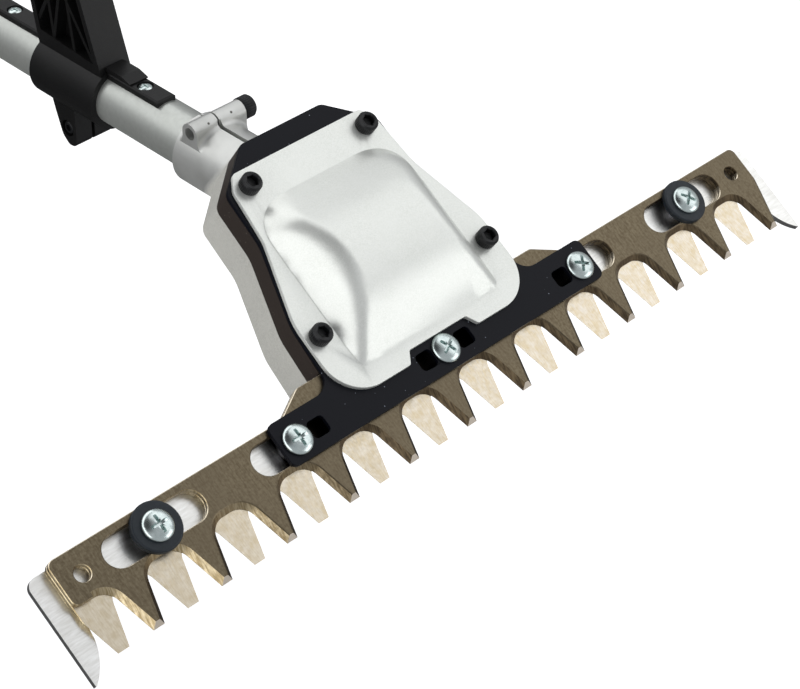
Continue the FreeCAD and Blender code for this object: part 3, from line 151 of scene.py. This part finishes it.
# The blades: two stamped strips of spring steel, the lower one turned over. Their outer faces
# have a dark bronze finish; the faces that slide on each other are ground bright, and so are
# the cutting bevels. The wheel ran from teeth to back, so the grain is across the length.
# The bevels' tan and brown are painted reflection, set by which way they face and how far along
# they lie, and the back-facing edges carry a painted cream highlight.
def blade_steel(name, outer_side):
    material, tree, output = new_material(name)
    where = add(tree, "ShaderNodeTexCoord")
    grain_size = add(tree, "ShaderNodeMapping", {"Vector": where.outputs["Object"], "Scale": (1500.0, 260.0, 300.0)})
    grain = add(tree, "ShaderNodeTexNoise", {"Vector": grain_size.outputs[0], "Scale": 1.0, "Detail": 4.0})
    speckle = add(tree, "ShaderNodeTexNoise", {"Vector": where.outputs["Object"], "Scale": 900.0, "Detail": 3.0})
    cloud = add(tree, "ShaderNodeTexNoise", {"Vector": where.outputs["Object"], "Scale": 28.0, "Detail": 4.0})
    mottle = add(tree, "ShaderNodeMath", {0: grain.outputs["Fac"], 1: speckle.outputs["Fac"]}, operation="MULTIPLY")
    tone = add(tree, "ShaderNodeMapRange", {"Value": mottle.outputs[0], "From Min": 0.14, "From Max": 0.36})
    facing = add(tree, "ShaderNodeNewGeometry")
    split = add(tree, "ShaderNodeSeparateXYZ", {"Vector": facing.outputs["True Normal"]})
    up = add(tree, "ShaderNodeMath", {0: split.outputs["Z"], 1: outer_side}, operation="MULTIPLY")
    outer = add(tree, "ShaderNodeMapRange", {"Value": up.outputs[0], "From Min": 0.85, "From Max": 0.95})
    inner = add(tree, "ShaderNodeMapRange", {"Value": up.outputs[0], "From Min": -0.85, "From Max": -0.95})
    bronze = add(tree, "ShaderNodeMix", {0: tone.outputs[0], 6: linear("564B3A"), 7: linear("8A7F68")},
                 data_type="RGBA")
    stained = add(tree, "ShaderNodeMix", {0: cloud.outputs["Fac"], 6: bronze.outputs[2], 7: linear("6C6251")},
                  data_type="RGBA")
    place = add(tree, "ShaderNodeSeparateXYZ", {"Vector": where.outputs["Object"]})
    along = add(tree, "ShaderNodeMapRange", {"Value": place.outputs["X"], "From Min": -0.17, "From Max": 0.10})
    blotch = add(tree, "ShaderNodeTexNoise", {"Vector": where.outputs["Object"], "Scale": 280.0, "Detail": 5.0,
                                              "Roughness": 0.65})
    smears = add(tree, "ShaderNodeMath", {0: blotch.outputs["Fac"], 1: grain.outputs["Fac"]}, operation="ADD")
    patches = add(tree, "ShaderNodeMapRange", {"Value": smears.outputs[0], "From Min": 0.78, "From Max": 1.22})
    straw = add(tree, "ShaderNodeMix", {0: patches.outputs[0], 6: linear("CDBFA4"), 7: linear("E3D9C6")},
                data_type="RGBA")
    cream = add(tree, "ShaderNodeMix", {0: patches.outputs[0], 6: linear("DCCBA9"), 7: linear("F1E9DB")},
                data_type="RGBA")
    ground = add(tree, "ShaderNodeMix", {0: along.outputs[0], 6: straw.outputs[2], 7: cream.outputs[2]},
                 data_type="RGBA")
    # Painted reflection: bevels facing left are tan at the left end and brown toward the middle, bevels facing right
    # are dark brown, as a lit floor and a dark side would show in them.
    across = add(tree, "ShaderNodeMapRange", {"Value": split.outputs["X"], "From Min": -0.6, "From Max": 0.6})
    hatch_size = add(tree, "ShaderNodeMapping", {"Vector": where.outputs["Object"], "Scale": (1700.0, 200.0, 200.0)})
    hatch = add(tree, "ShaderNodeTexNoise", {"Vector": hatch_size.outputs[0], "Scale": 1.0, "Detail": 3.0})
    cuts = add(tree, "ShaderNodeMapRange", {"Value": hatch.outputs["Fac"], "From Min": 0.38, "From Max": 0.62})
    lit_reflection_tan = add(tree, "ShaderNodeMix", {0: cuts.outputs[0], 6: linear("AC9872"), 7: linear("DDCCA8")},
               data_type="RGBA")
    brown = add(tree, "ShaderNodeMix", {0: cuts.outputs[0], 6: linear("4E4335"), 7: linear("75664F")},
                data_type="RGBA")
    reflection_dims_toward_middle = add(tree, "ShaderNodeMapRange", {"Value": place.outputs["X"], "From Min": -0.135, "From Max": -0.055})
    left_bevel_painted_reflection = add(tree, "ShaderNodeMix", {0: reflection_dims_toward_middle.outputs[0], 6: lit_reflection_tan.outputs[2], 7: brown.outputs[2]},
                      data_type="RGBA")
    bevel = add(tree, "ShaderNodeMix", {0: across.outputs[0], 6: left_bevel_painted_reflection.outputs[2], 7: linear("5A4D3C")},
                data_type="RGBA")
    # Painted highlight: faces turned to the back are cream, a lit line along the back edges.
    back = add(tree, "ShaderNodeMapRange", {"Value": split.outputs["Y"], "From Min": 0.2, "From Max": 0.5})
    edge = add(tree, "ShaderNodeMix", {0: back.outputs[0], 6: bevel.outputs[2], 7: linear("F2E6CF")},
               data_type="RGBA")
    front = add(tree, "ShaderNodeMapRange", {"Value": split.outputs["Y"], "From Min": -0.45, "From Max": -0.60})
    near_tip = add(tree, "ShaderNodeMapRange", {"Value": place.outputs["Y"], "From Min": TEETH_TO_ORIGIN.y + 0.0036,
                                                "From Max": TEETH_TO_ORIGIN.y + 0.0026})
    tip = add(tree, "ShaderNodeMath", {0: front.outputs[0], 1: near_tip.outputs[0]}, operation="MULTIPLY")
    tipped = add(tree, "ShaderNodeMix", {0: tip.outputs[0], 6: edge.outputs[2], 7: linear("E2D6C6")},
                 data_type="RGBA")
    faced = add(tree, "ShaderNodeMix", {0: inner.outputs[0], 6: tipped.outputs[2], 7: ground.outputs[2]},
                data_type="RGBA")
    colour = add(tree, "ShaderNodeMix", {0: outer.outputs[0], 6: faced.outputs[2], 7: stained.outputs[2]},
                 data_type="RGBA")
    rough = add(tree, "ShaderNodeMapRange", {"Value": tone.outputs[0], "To Min": 0.30, "To Max": 0.46})
    bump = add(tree, "ShaderNodeBump", {"Height": mottle.outputs[0], "Strength": 0.3, "Distance": 0.0001})
    shader = add(tree, "ShaderNodeBsdfPrincipled", {
        "Base Color": colour.outputs[2], "Metallic": 1.0, "Roughness": rough.outputs[0], "Normal": bump.outputs[0],
    })
    tree.links.new(shader.outputs[0], output.inputs[0])
    return material


dress(["upper_blade"], blade_steel("bronze_finished_blade_steel", 1.0))
dress(["lower_blade"], blade_steel("bronze_finished_blade_steel_turned_over", -1.0))


# The guide bar: cold-rolled steel strip, stamped and brushed along its length, with a guard
# ground to a point at each end. It is bare and bright, but painted dark where it runs under the plate: painted shade.
material, tree, output = new_material("brushed_steel_strip")
where = add(tree, "ShaderNodeTexCoord")
grain_size = add(tree, "ShaderNodeMapping", {"Vector": where.outputs["Object"], "Scale": (60.0, 1800.0, 300.0)})
grain = add(tree, "ShaderNodeTexNoise", {"Vector": grain_size.outputs[0], "Scale": 1.0, "Detail": 4.0})
stain = add(tree, "ShaderNodeTexNoise", {"Vector": where.outputs["Object"], "Scale": 60.0, "Detail": 5.0})
scratch_size = add(tree, "ShaderNodeMapping",
                   {"Vector": where.outputs["Object"], "Rotation": (0.0, 0.0, 0.6), "Scale": (220.0, 1300.0, 300.0)})
scratches = add(tree, "ShaderNodeTexNoise", {"Vector": scratch_size.outputs[0], "Scale": 1.0, "Detail": 3.0})
worn = add(tree, "ShaderNodeMath", {0: stain.outputs["Fac"], 1: scratches.outputs["Fac"]}, operation="MULTIPLY")
wear = add(tree, "ShaderNodeMapRange", {"Value": worn.outputs[0], "From Min": 0.10, "From Max": 0.42})
colour = add(tree, "ShaderNodeMix", {0: wear.outputs[0], 6: linear("E2E1DC"), 7: linear("FEFEFC")},
             data_type="RGBA")
place = add(tree, "ShaderNodeSeparateXYZ", {"Vector": where.outputs["Object"]})
# Painted shade: where the bar runs under the plate, it is coloured near-black.
off_middle = add(tree, "ShaderNodeMath", {0: place.outputs["X"]}, operation="ABSOLUTE")
under_plate_painted_shade = add(tree, "ShaderNodeMapRange", {"Value": off_middle.outputs[0], "From Min": 0.0862, "From Max": 0.0842})
colour = add(tree, "ShaderNodeMix", {0: under_plate_painted_shade.outputs[0], 6: colour.outputs[2], 7: linear("1D1A17")},
             data_type="RGBA")
rough = add(tree, "ShaderNodeMapRange", {"Value": grain.outputs["Fac"], "To Min": 0.25, "To Max": 0.45})
bump = add(tree, "ShaderNodeBump", {"Height": grain.outputs["Fac"], "Strength": 0.2, "Distance": 0.0001})
shader = add(tree, "ShaderNodeBsdfPrincipled", {
    "Base Color": colour.outputs[2], "Metallic": 1.0, "Roughness": rough.outputs[0], "Normal": bump.outputs[0],
})
tree.links.new(shader.outputs[0], output.inputs[0])
dress(["guide_bar"], material)


# The holder plate: laser-cut steel sheet with a blue-black powder coat, tumbled before it is
# coated, so its edges are slightly round. The coat is orange-peeled, with pale specks of dust.
SHARP_FROM = math.radians(34.0)
BEVEL_FROM = math.radians(38.0)


def softened(node, edge, body, material):
    """A copy of a CAD node with its sharp edges rounded, which stands for that node."""
    form = bmesh.new()
    form.from_mesh(cad[node].data)
    bmesh.ops.remove_doubles(form, verts=form.verts, dist=0.000002)
    bmesh.ops.dissolve_limit(form, angle_limit=math.radians(0.2), verts=form.verts, edges=form.edges)
    mesh = bpy.data.meshes.new(node + "_softened")
    form.to_mesh(mesh)
    form.free()
    mesh.polygons.foreach_set("use_smooth", [True] * len(mesh.polygons))
    mesh.set_sharp_from_angle(angle=SHARP_FROM)
    piece = bpy.data.objects.new(node + "_softened", mesh)
    bpy.context.scene.collection.objects.link(piece)
    bevel = piece.modifiers.new("edges", "BEVEL")
    bevel.width = edge
    bevel.segments = 2
    bevel.limit_method = "ANGLE"
    bevel.angle_limit = BEVEL_FROM
    bevel.use_clamp_overlap = False
    bevel.harden_normals = True
    graph = bpy.context.evaluated_depsgraph_get()
    rounded = bpy.data.meshes.new_from_object(piece.evaluated_get(graph))
    piece.modifiers.remove(bevel)
    piece.data = rounded
    rounded.materials.clear()
    rounded.materials.append(material)
    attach(piece, body)
    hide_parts(node)


def powder_coat(name, base, speck):
    material, tree, output = new_material(name)
    where = add(tree, "ShaderNodeTexCoord")
    peel = add(tree, "ShaderNodeTexNoise", {"Vector": where.outputs["Object"], "Scale": 900.0, "Detail": 2.0})
    dust = add(tree, "ShaderNodeTexVoronoi", {"Vector": where.outputs["Object"], "Scale": 420.0})
    near = add(tree, "ShaderNodeMapRange", {"Value": dust.outputs["Distance"], "From Min": 0.12, "From Max": 0.06})
    pick = add(tree, "ShaderNodeSeparateColor", {"Color": dust.outputs["Color"]})
    few = add(tree, "ShaderNodeMath", {0: pick.outputs[0], 1: 0.68}, operation="GREATER_THAN")
    specks = add(tree, "ShaderNodeMath", {0: near.outputs[0], 1: few.outputs[0]}, operation="MULTIPLY")
    colour = add(tree, "ShaderNodeMix", {0: specks.outputs[0], 6: linear(base), 7: linear(speck)}, data_type="RGBA")
    bump = add(tree, "ShaderNodeBump", {"Height": peel.outputs["Fac"], "Strength": 0.15, "Distance": 0.0002})
    shader = add(tree, "ShaderNodeBsdfPrincipled", {
        "Base Color": colour.outputs[2], "Roughness": 0.45, "Specular IOR Level": 0.18, "Normal": bump.outputs[0],
    })
    tree.links.new(shader.outputs[0], output.inputs[0])
    return material


softened("holder_plate", 0.00025, "head", powder_coat("blue_black_powder_coat", "090B14", "8A909C"))


# The frame between plate and housing: an aluminium casting under a brown-black coat like the
# plate's. Only its edge shows, between the plate and the housing.
dress(["spacer_frame"], powder_coat("brown_black_paint", "322B27", "5A544C"))


# The cover: pressure-cast aluminium with silver paint. The casting under it is slightly uneven,
# and the paint's flakes sparkle; they are drawn 0.4 mm wide, coarser than real ones, to show.
def cast_aluminium(name, light, dark, flake_scale, grit_height, metallic, roughness, bright_from=None):
    material, tree, output = new_material(name)
    where = add(tree, "ShaderNodeTexCoord")
    flakes = add(tree, "ShaderNodeTexVoronoi", {"Vector": where.outputs["Object"], "Scale": flake_scale})
    flake = add(tree, "ShaderNodeSeparateColor", {"Color": flakes.outputs["Color"]})
    cloud = add(tree, "ShaderNodeTexNoise", {"Vector": where.outputs["Object"], "Scale": 70.0, "Detail": 4.0})
    grit = add(tree, "ShaderNodeTexNoise", {"Vector": where.outputs["Object"], "Scale": 1400.0, "Detail": 2.0})
    blend = add(tree, "ShaderNodeMath", {0: flake.outputs[0], 1: cloud.outputs["Fac"]}, operation="MULTIPLY")
    colour = add(tree, "ShaderNodeMix", {0: blend.outputs[0], 6: linear(light), 7: linear(dark)}, data_type="RGBA")
    rough = add(tree, "ShaderNodeMapRange",
                {"Value": flake.outputs[1], "To Min": roughness - 0.03, "To Max": roughness + 0.03})
    bump = add(tree, "ShaderNodeBump", {"Height": grit.outputs["Fac"], "Strength": 0.3, "Distance": grit_height})
    skin = colour.outputs[2]
    shine = None
    if bright_from is not None:
        place = add(tree, "ShaderNodeSeparateXYZ", {"Vector": where.outputs["Object"]})
        past = add(tree, "ShaderNodeMapRange",
                   {"Value": place.outputs["Y"], "From Min": bright_from, "From Max": bright_from + 0.003})
        rubbed = add(tree, "ShaderNodeMix", {0: cloud.outputs["Fac"], 6: linear("E6E7E4"), 7: linear("B9BAB6")},
                     data_type="RGBA")
        neck = add(tree, "ShaderNodeMix", {0: past.outputs[0], 6: skin, 7: rubbed.outputs[2]}, data_type="RGBA")
        skin = neck.outputs[2]
        shine = add(tree, "ShaderNodeMapRange", {"Value": past.outputs[0], "To Min": metallic, "To Max": 0.75})
        brush_size = add(tree, "ShaderNodeMapping",
                         {"Vector": where.outputs["Object"], "Scale": (1500.0, 150.0, 900.0)})
        brush = add(tree, "ShaderNodeTexNoise", {"Vector": brush_size.outputs[0], "Scale": 1.0, "Detail": 3.0})
        brushed = add(tree, "ShaderNodeMapRange", {"Value": brush.outputs["Fac"], "To Min": 0.34, "To Max": 0.46})
        rough = add(tree, "ShaderNodeMix", {0: past.outputs[0], 2: rough.outputs[0], 3: brushed.outputs[0]})
        worn_down = add(tree, "ShaderNodeMapRange", {"Value": past.outputs[0], "To Min": 0.3, "To Max": 0.10})
        tree.links.new(worn_down.outputs[0], bump.inputs["Strength"])
        # Each pit is only a dark dot on the surface: painted shade for its hollow.
        for pit in CLAMP_PITS:
            near = add(tree, "ShaderNodeVectorMath", {0: where.outputs["Object"], 1: pit}, operation="DISTANCE")
            inside = add(tree, "ShaderNodeMapRange",
                         {"Value": near.outputs["Value"], "From Min": 0.0007, "From Max": 0.0004})
            pit_painted_shade = add(tree, "ShaderNodeMix", {0: inside.outputs[0], 6: skin, 7: linear("55534E")},
                         data_type="RGBA")
            skin = pit_painted_shade.outputs[2]
    shader = add(tree, "ShaderNodeBsdfPrincipled", {
        "Base Color": skin, "Metallic": metallic, "Roughness": rough.outputs[0], "Normal": bump.outputs[0],
    })
    if shine is not None:
        tree.links.new(shine.outputs[0], shader.inputs["Metallic"])
    tree.links.new(shader.outputs[0], output.inputs[0])
    return material


cover_paint = cast_aluminium("silver_painted_casting", "F1F3EE", "DFE2DB", flake_scale=2600.0,
                             grit_height=0.00006, metallic=0.55, roughness=0.35)
softened("gear_cover", 0.00022, "head", cover_paint)


# The housing: a bare sand-blasted casting. Its neck is rubbed bright by handling, and the
# clamp's boss has two small pits from the casting, drawn as dark dots of painted shade.
NECK_START = -0.163
CLAMP_PITS = [Vector((-0.0050, -0.1414, 0.1144)), Vector((0.0073, -0.1413, 0.1144))]
dress(["gear_housing"],
      cast_aluminium("blasted_casting", "C4C3BC", "AAA9A2", flake_scale=2200.0, grit_height=0.0002,
                     metallic=0.2, roughness=0.46, bright_from=NECK_START))


# The cover's screws: knurled socket heads of steel, blackened in an oxide bath and oiled, which
# leaves them dark with a soft shine. They hold the cover's flange to the housing.
def plain_metal(name, light, dark, metallic, low, high):
    material, tree, output = new_material(name)
    where = add(tree, "ShaderNodeTexCoord")
    cloud = add(tree, "ShaderNodeTexNoise", {"Vector": where.outputs["Object"], "Scale": 500.0, "Detail": 4.0})
    colour = add(tree, "ShaderNodeMix", {0: cloud.outputs["Fac"], 6: linear(light), 7: linear(dark)},
                 data_type="RGBA")
    rough = add(tree, "ShaderNodeMapRange", {"Value": cloud.outputs["Fac"], "To Min": low, "To Max": high})
    bump = add(tree, "ShaderNodeBump", {"Height": cloud.outputs["Fac"], "Strength": 0.1, "Distance": 0.0001})
    shader = add(tree, "ShaderNodeBsdfPrincipled", {
        "Base Color": colour.outputs[2], "Metallic": metallic, "Roughness": rough.outputs[0],
        "Normal": bump.outputs[0],
    })
    tree.links.new(shader.outputs[0], output.inputs[0])
    return material


black_oxide = plain_metal("black_oxide_steel", "1B1C1E", "0E0F11", metallic=0.3, low=0.3, high=0.5)
SEGMENTS = 120
KNURLS = 30
THREAD_ROOT = 0.87
SCREW_SHARP_FROM = math.radians(38.0)


def turned(name, rings, material):
    """A closed body round +Z. Each ring gives radius and height for an angle; the last closes it."""
    form = bmesh.new()
    rows = []
    for ring in rings:
        row = []
        for i in range(SEGMENTS):
            angle = 2 * math.pi * i / SEGMENTS
            radius, height = ring(angle)
            row.append(form.verts.new((radius * math.cos(angle), radius * math.sin(angle), height)))
        rows.append(row)
    for low, high in zip(rows, rows[1:]):
        for i in range(SEGMENTS):
            j = (i + 1) % SEGMENTS
            form.faces.new((low[i], low[j], high[j], high[i]))
    form.faces.new(list(reversed(rows[0])))
    form.faces.new(rows[-1])
    bmesh.ops.recalc_face_normals(form, faces=form.faces)
    mesh = bpy.data.meshes.new(name)
    form.to_mesh(mesh)
    form.free()
    mesh.materials.append(material)
    return mesh


def level_ring(radius, height):
    return lambda angle: (radius, height)


def thread(radius, low, high, pitch):
    """Rings of a thread; its turns are drawn as separate grooves."""
    rings = []
    count = int((high - low) / pitch)
    for i in range(count):
        rings.append(level_ring(radius * THREAD_ROOT, low + pitch * i))
        rings.append(level_ring(radius, low + pitch * (i + 0.5)))
    return rings


def cap_screw(name, head_r, head_h, screw_r, length):
    """Knurled socket head screw down -Z, its head standing on the level Z = 0."""
    knurl = 0.05 * head_r
    across = head_r / 2

    def knurled(height):
        return lambda angle: (head_r - knurl * max(0.0, math.cos(KNURLS * angle)), height)

    def hexagon(flat, height):
        return lambda angle: (flat / math.cos((angle + math.pi / 6) % (math.pi / 3) - math.pi / 6), height)

    rings = [level_ring(screw_r * 0.8, -length)] + thread(screw_r, -length + 0.0004, -0.001, 0.0009)
    rings += [level_ring(screw_r, 0.0), level_ring(head_r - 0.0003, 0.0), knurled(0.0004)]
    rings += [knurled(head_h * 0.45), knurled(head_h - 0.0009), level_ring(head_r - 0.00025, head_h - 0.0006)]
    rings += [level_ring(head_r - 0.0007, head_h), level_ring(across * 1.32, head_h)]
    rings += [hexagon(across * 1.06, head_h - 0.0003), hexagon(across, head_h - 0.0008)]
    rings += [hexagon(across, head_h * 0.45), level_ring(across * 0.3, head_h * 0.38)]
    return turned(name, rings, black_oxide)


def set_out(name, template, places, turn, node):
    """Puts a copy of the template on every place, each turned on from the one before."""
    holder = bpy.data.objects.new(name + "_template", template)
    bpy.context.scene.collection.objects.link(holder)
    dots = bpy.data.meshes.new(name + "_places")
    dots.from_pydata([tuple(place) for place in places], [], [])
    row = bpy.data.objects.new(name, dots)
    bpy.context.scene.collection.objects.link(row)

    tree = bpy.data.node_groups.new(name + "_row", "GeometryNodeTree")
    face = tree.interface
    face.new_socket("Geometry", in_out="INPUT", socket_type="NodeSocketGeometry")
    piece_input = face.new_socket("Piece", in_out="INPUT", socket_type="NodeSocketObject")
    turn_input = face.new_socket("Turn from one to the next", in_out="INPUT", socket_type="NodeSocketFloat")
    finish_input = face.new_socket("Finish", in_out="INPUT", socket_type="NodeSocketMaterial")
    face.new_socket("Geometry", in_out="OUTPUT", socket_type="NodeSocketGeometry")
    given = add(tree, "NodeGroupInput")
    piece = add(tree, "GeometryNodeObjectInfo", {"Object": given.outputs["Piece"]})
    index = add(tree, "GeometryNodeInputIndex")
    angle = add(tree, "ShaderNodeMath", {0: index.outputs[0], 1: given.outputs["Turn from one to the next"]},
                operation="MULTIPLY")
    turned_to = add(tree, "ShaderNodeCombineXYZ", {"Z": angle.outputs[0]})
    placed = add(tree, "GeometryNodeInstanceOnPoints", {
        "Points": given.outputs["Geometry"], "Instance": piece.outputs["Geometry"], "Rotation": turned_to.outputs[0],
    })
    real = add(tree, "GeometryNodeRealizeInstances", {"Geometry": placed.outputs[0]})
    finished = add(tree, "GeometryNodeSetMaterial", {"Geometry": real.outputs[0], "Material": given.outputs["Finish"]})
    result = add(tree, "NodeGroupOutput")
    tree.links.new(finished.outputs[0], result.inputs[0])

    modifier = row.modifiers.new("row", "NODES")
    modifier.node_group = tree
    modifier[piece_input.identifier] = holder
    modifier[turn_input.identifier] = turn
    modifier[finish_input.identifier] = template.materials[0]
    graph = bpy.context.evaluated_depsgraph_get()
    mesh = bpy.data.meshes.new_from_object(row.evaluated_get(graph))
    row.modifiers.remove(modifier)
    row.data = mesh
    bpy.data.objects.remove(holder)
    mesh.polygons.foreach_set("use_smooth", [True] * len(mesh.polygons))
    mesh.set_sharp_from_angle(angle=SCREW_SHARP_FROM)
    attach(row, "head")
    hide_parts(node)


FLANGE_TOP = 0.00635
COVER_SCREWS = [(0.0311, 0.1230), (-0.0311, 0.1230), (0.0456, 0.0585), (-0.0456, 0.0585)]
set_out("cover_socket_screws", cap_screw("cover_socket_screw", 0.00435, 0.005, 0.0025, 0.024),
        [Vector((x, y, FLANGE_TOP)) + TEETH_TO_ORIGIN for x, y in COVER_SCREWS], 0.4, "cover_screws")


# The clamp's screw: the same kind, one size larger. It lies across the boss over the pole and
# draws the neck's slit together round the tube.
CLAMP_FACE = 0.0144
CLAMP_ALONG = -0.0018
CLAMP_UP = 0.0154
POLE_POINT = Vector((0.0, 0.1575, -0.0472))
lying = Matrix.Rotation(math.radians(90.0), 4, "Y")
along_pole = Matrix.Translation(POLE_POINT + TEETH_TO_ORIGIN) @ Matrix.Rotation(-POLE_TILT, 4, "X")
clamp_mesh = cap_screw("clamp_socket_screw", 0.0049, 0.0059, 0.0027, 0.023)
clamp_mesh.transform(along_pole @ Matrix.Translation((CLAMP_FACE, CLAMP_ALONG, CLAMP_UP)) @ lying)
clamp_mesh.polygons.foreach_set("use_smooth", [True] * len(clamp_mesh.polygons))
clamp_mesh.set_sharp_from_angle(angle=SCREW_SHARP_FROM)
clamp_screw = bpy.data.objects.new("clamp_socket_screw", clamp_mesh)
bpy.context.scene.collection.objects.link(clamp_screw)
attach(clamp_screw, "head")
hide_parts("clamp_screw")


# The bracket's small socket screw, and the washers of the end screws: blackened, the washers
# with a blue cast from the heat of the bath.
dress(["bracket_screw"], black_oxide)
dress(["end_washers"],
      plain_metal("blue_black_washer", "1F2830", "141C23", metallic=0.1, low=0.4, high=0.6))


# The pole: drawn aluminium tube, blasted and anodised matt, so that it is a dull silver
# without a grain. The neck clamps its end.
dress(["pole_tube"],
      plain_metal("matt_anodised_tube", "CDD0CB", "BBBEB9", metallic=0.78, low=0.36, high=0.44))


# Pan screws and nuts of zinc-plated steel: bright, slightly blue, with soft cloudy patches.
# They clamp the plate, the blades and the bar together.
zinc = plain_metal("zinc_plated_steel", "E8F1EE", "B9C8C8", metallic=1.0, low=0.18, high=0.28)
dress(["bracket_nut", "holder_nuts", "end_nuts"], zinc)
HEAD_R = 0.0063
HEAD_H = 0.0030
HEAD_EDGE = 0.0005


def pan_screw(name, low):
    """Low domed screw with a cross recess, standing on the level Z = 0 and reaching down to a level."""
    def dome(radius):
        return HEAD_EDGE + (HEAD_H - HEAD_EDGE) * math.sqrt(max(0.0, 1 - (radius / HEAD_R) ** 2))

    def cross(length, width, angle):
        off = abs((angle + math.pi / 4) % (math.pi / 2) - math.pi / 4)
        if math.tan(off) < width / length:
            return length / math.cos(off)
        return width / math.sin(off)

    def on_dome(share, length, width, sunk):
        def ring(angle):
            inner = cross(length, width, angle)
            radius = inner + share * (0.0044 - inner)
            return radius, dome(radius) - sunk
        return ring

    rings = [level_ring(0.0024, low), level_ring(0.0029, low + 0.0004)]
    thread_end = min(low + 0.0075, -0.0010)
    rings += thread(0.00295, low + 0.0009, thread_end, 0.001)
    rings += [level_ring(0.00295, thread_end + 0.0005), level_ring(0.00295, 0.0), level_ring(HEAD_R - 0.0002, 0.0)]
    rings += [level_ring(HEAD_R, 0.0002), level_ring(HEAD_R, HEAD_EDGE)]
    for share in (0.998, 0.985, 0.95, 0.9, 0.84, 0.77, 0.70):
        rings.append(lambda angle, radius=share * HEAD_R: (radius, dome(radius)))
    rings += [on_dome(0.7, 0.0036, 0.00065, 0.0), on_dome(0.35, 0.0036, 0.00065, 0.0)]
    rings += [on_dome(0.08, 0.0036, 0.00065, 0.0), on_dome(0.0, 0.0036, 0.00065, 0.0001)]
    rings += [on_dome(0.0, 0.0028, 0.00048, 0.0015), on_dome(0.0, 0.0016, 0.0004, 0.0021)]
    return turned(name, rings, zinc)


SCREW_LINE = 0.0298
PLATE_TOP = 0.00435
WASHER_TOP = 0.00475
SHANK_END = -0.01085
set_out("holder_pan_screws", pan_screw("holder_pan_screw", SHANK_END - PLATE_TOP),
        [Vector((x, SCREW_LINE, PLATE_TOP)) + TEETH_TO_ORIGIN for x in (-0.0784, 0.0, 0.0784)], 0.5, "holder_screws")
set_out("end_pan_screws", pan_screw("end_pan_screw", SHANK_END - WASHER_TOP),
        [Vector((x, SCREW_LINE, WASHER_TOP)) + TEETH_TO_ORIGIN for x in (-0.145825, 0.145825)], 0.7, "end_screws")


# The rail's two small screws: the same form, a little over half the size. They stand square
# to the pole, in the rail's round seats.
RAIL_SCREW_SIZE = 0.54
RAIL_SEAT = 0.0126
rail_screw = pan_screw("rail_pan_screw", -0.0030 / RAIL_SCREW_SIZE)
rail_screw.transform(Matrix.Rotation(-POLE_TILT, 4, "X") @ Matrix.Scale(RAIL_SCREW_SIZE, 4))
set_out("rail_pan_screws", rail_screw, [along_pole @ Vector((0.0, s, RAIL_SEAT)) for s in (0.0410, 0.1295)], 0.0,
        "rail_screws")


# The rail and the bracket: glass-filled black nylon, moulded with a fine spark-eroded grain,
# which leaves them nearly matt. The drive shaft's bushes are natural acetal.
def moulded_plastic(name, light, dark, grain_scale):
    material, tree, output = new_material(name)
    where = add(tree, "ShaderNodeTexCoord")
    grain = add(tree, "ShaderNodeTexNoise", {"Vector": where.outputs["Object"], "Scale": grain_scale, "Detail": 2.0})
    cloud = add(tree, "ShaderNodeTexNoise", {"Vector": where.outputs["Object"], "Scale": 80.0, "Detail": 3.0})
    colour = add(tree, "ShaderNodeMix", {0: cloud.outputs["Fac"], 6: linear(light), 7: linear(dark)},
                 data_type="RGBA")
    bump = add(tree, "ShaderNodeBump", {"Height": grain.outputs["Fac"], "Strength": 0.25, "Distance": 0.0002})
    shader = add(tree, "ShaderNodeBsdfPrincipled", {
        "Base Color": colour.outputs[2], "Roughness": 0.42, "Specular IOR Level": 0.3, "Normal": bump.outputs[0],
    })
    tree.links.new(shader.outputs[0], output.inputs[0])
    return material


dress(["pole_rail", "pole_bracket"], moulded_plastic("black_filled_nylon", "131313", "0B0B0B", 1500.0))
dress(["shaft_bushes"], moulded_plastic("natural_acetal", "DAD6CA", "C9C5B8", 900.0))


# The works inside the castings: gear, eccentrics and bushes of machined alloy steel, oiled,
# and bearing rings and the drive shaft of ground bearing steel, which is brighter.
machined = plain_metal("machined_alloy_steel", "9A9A9E", "77777C", 1.0, 0.2, 0.4)
dress(["gear_wheel", "eccentric_upper", "eccentric_lower", "shaft_spacer", "pinion_shaft", "pinion_circlip",
       "holder_bushes", "end_bushes"], machined)
dress(["gear_bearings", "pinion_bearings", "drive_shaft"],
      plain_metal("ground_bearing_steel", "C4C6CA", "A4A6AA", 1.0, 0.12, 0.25))
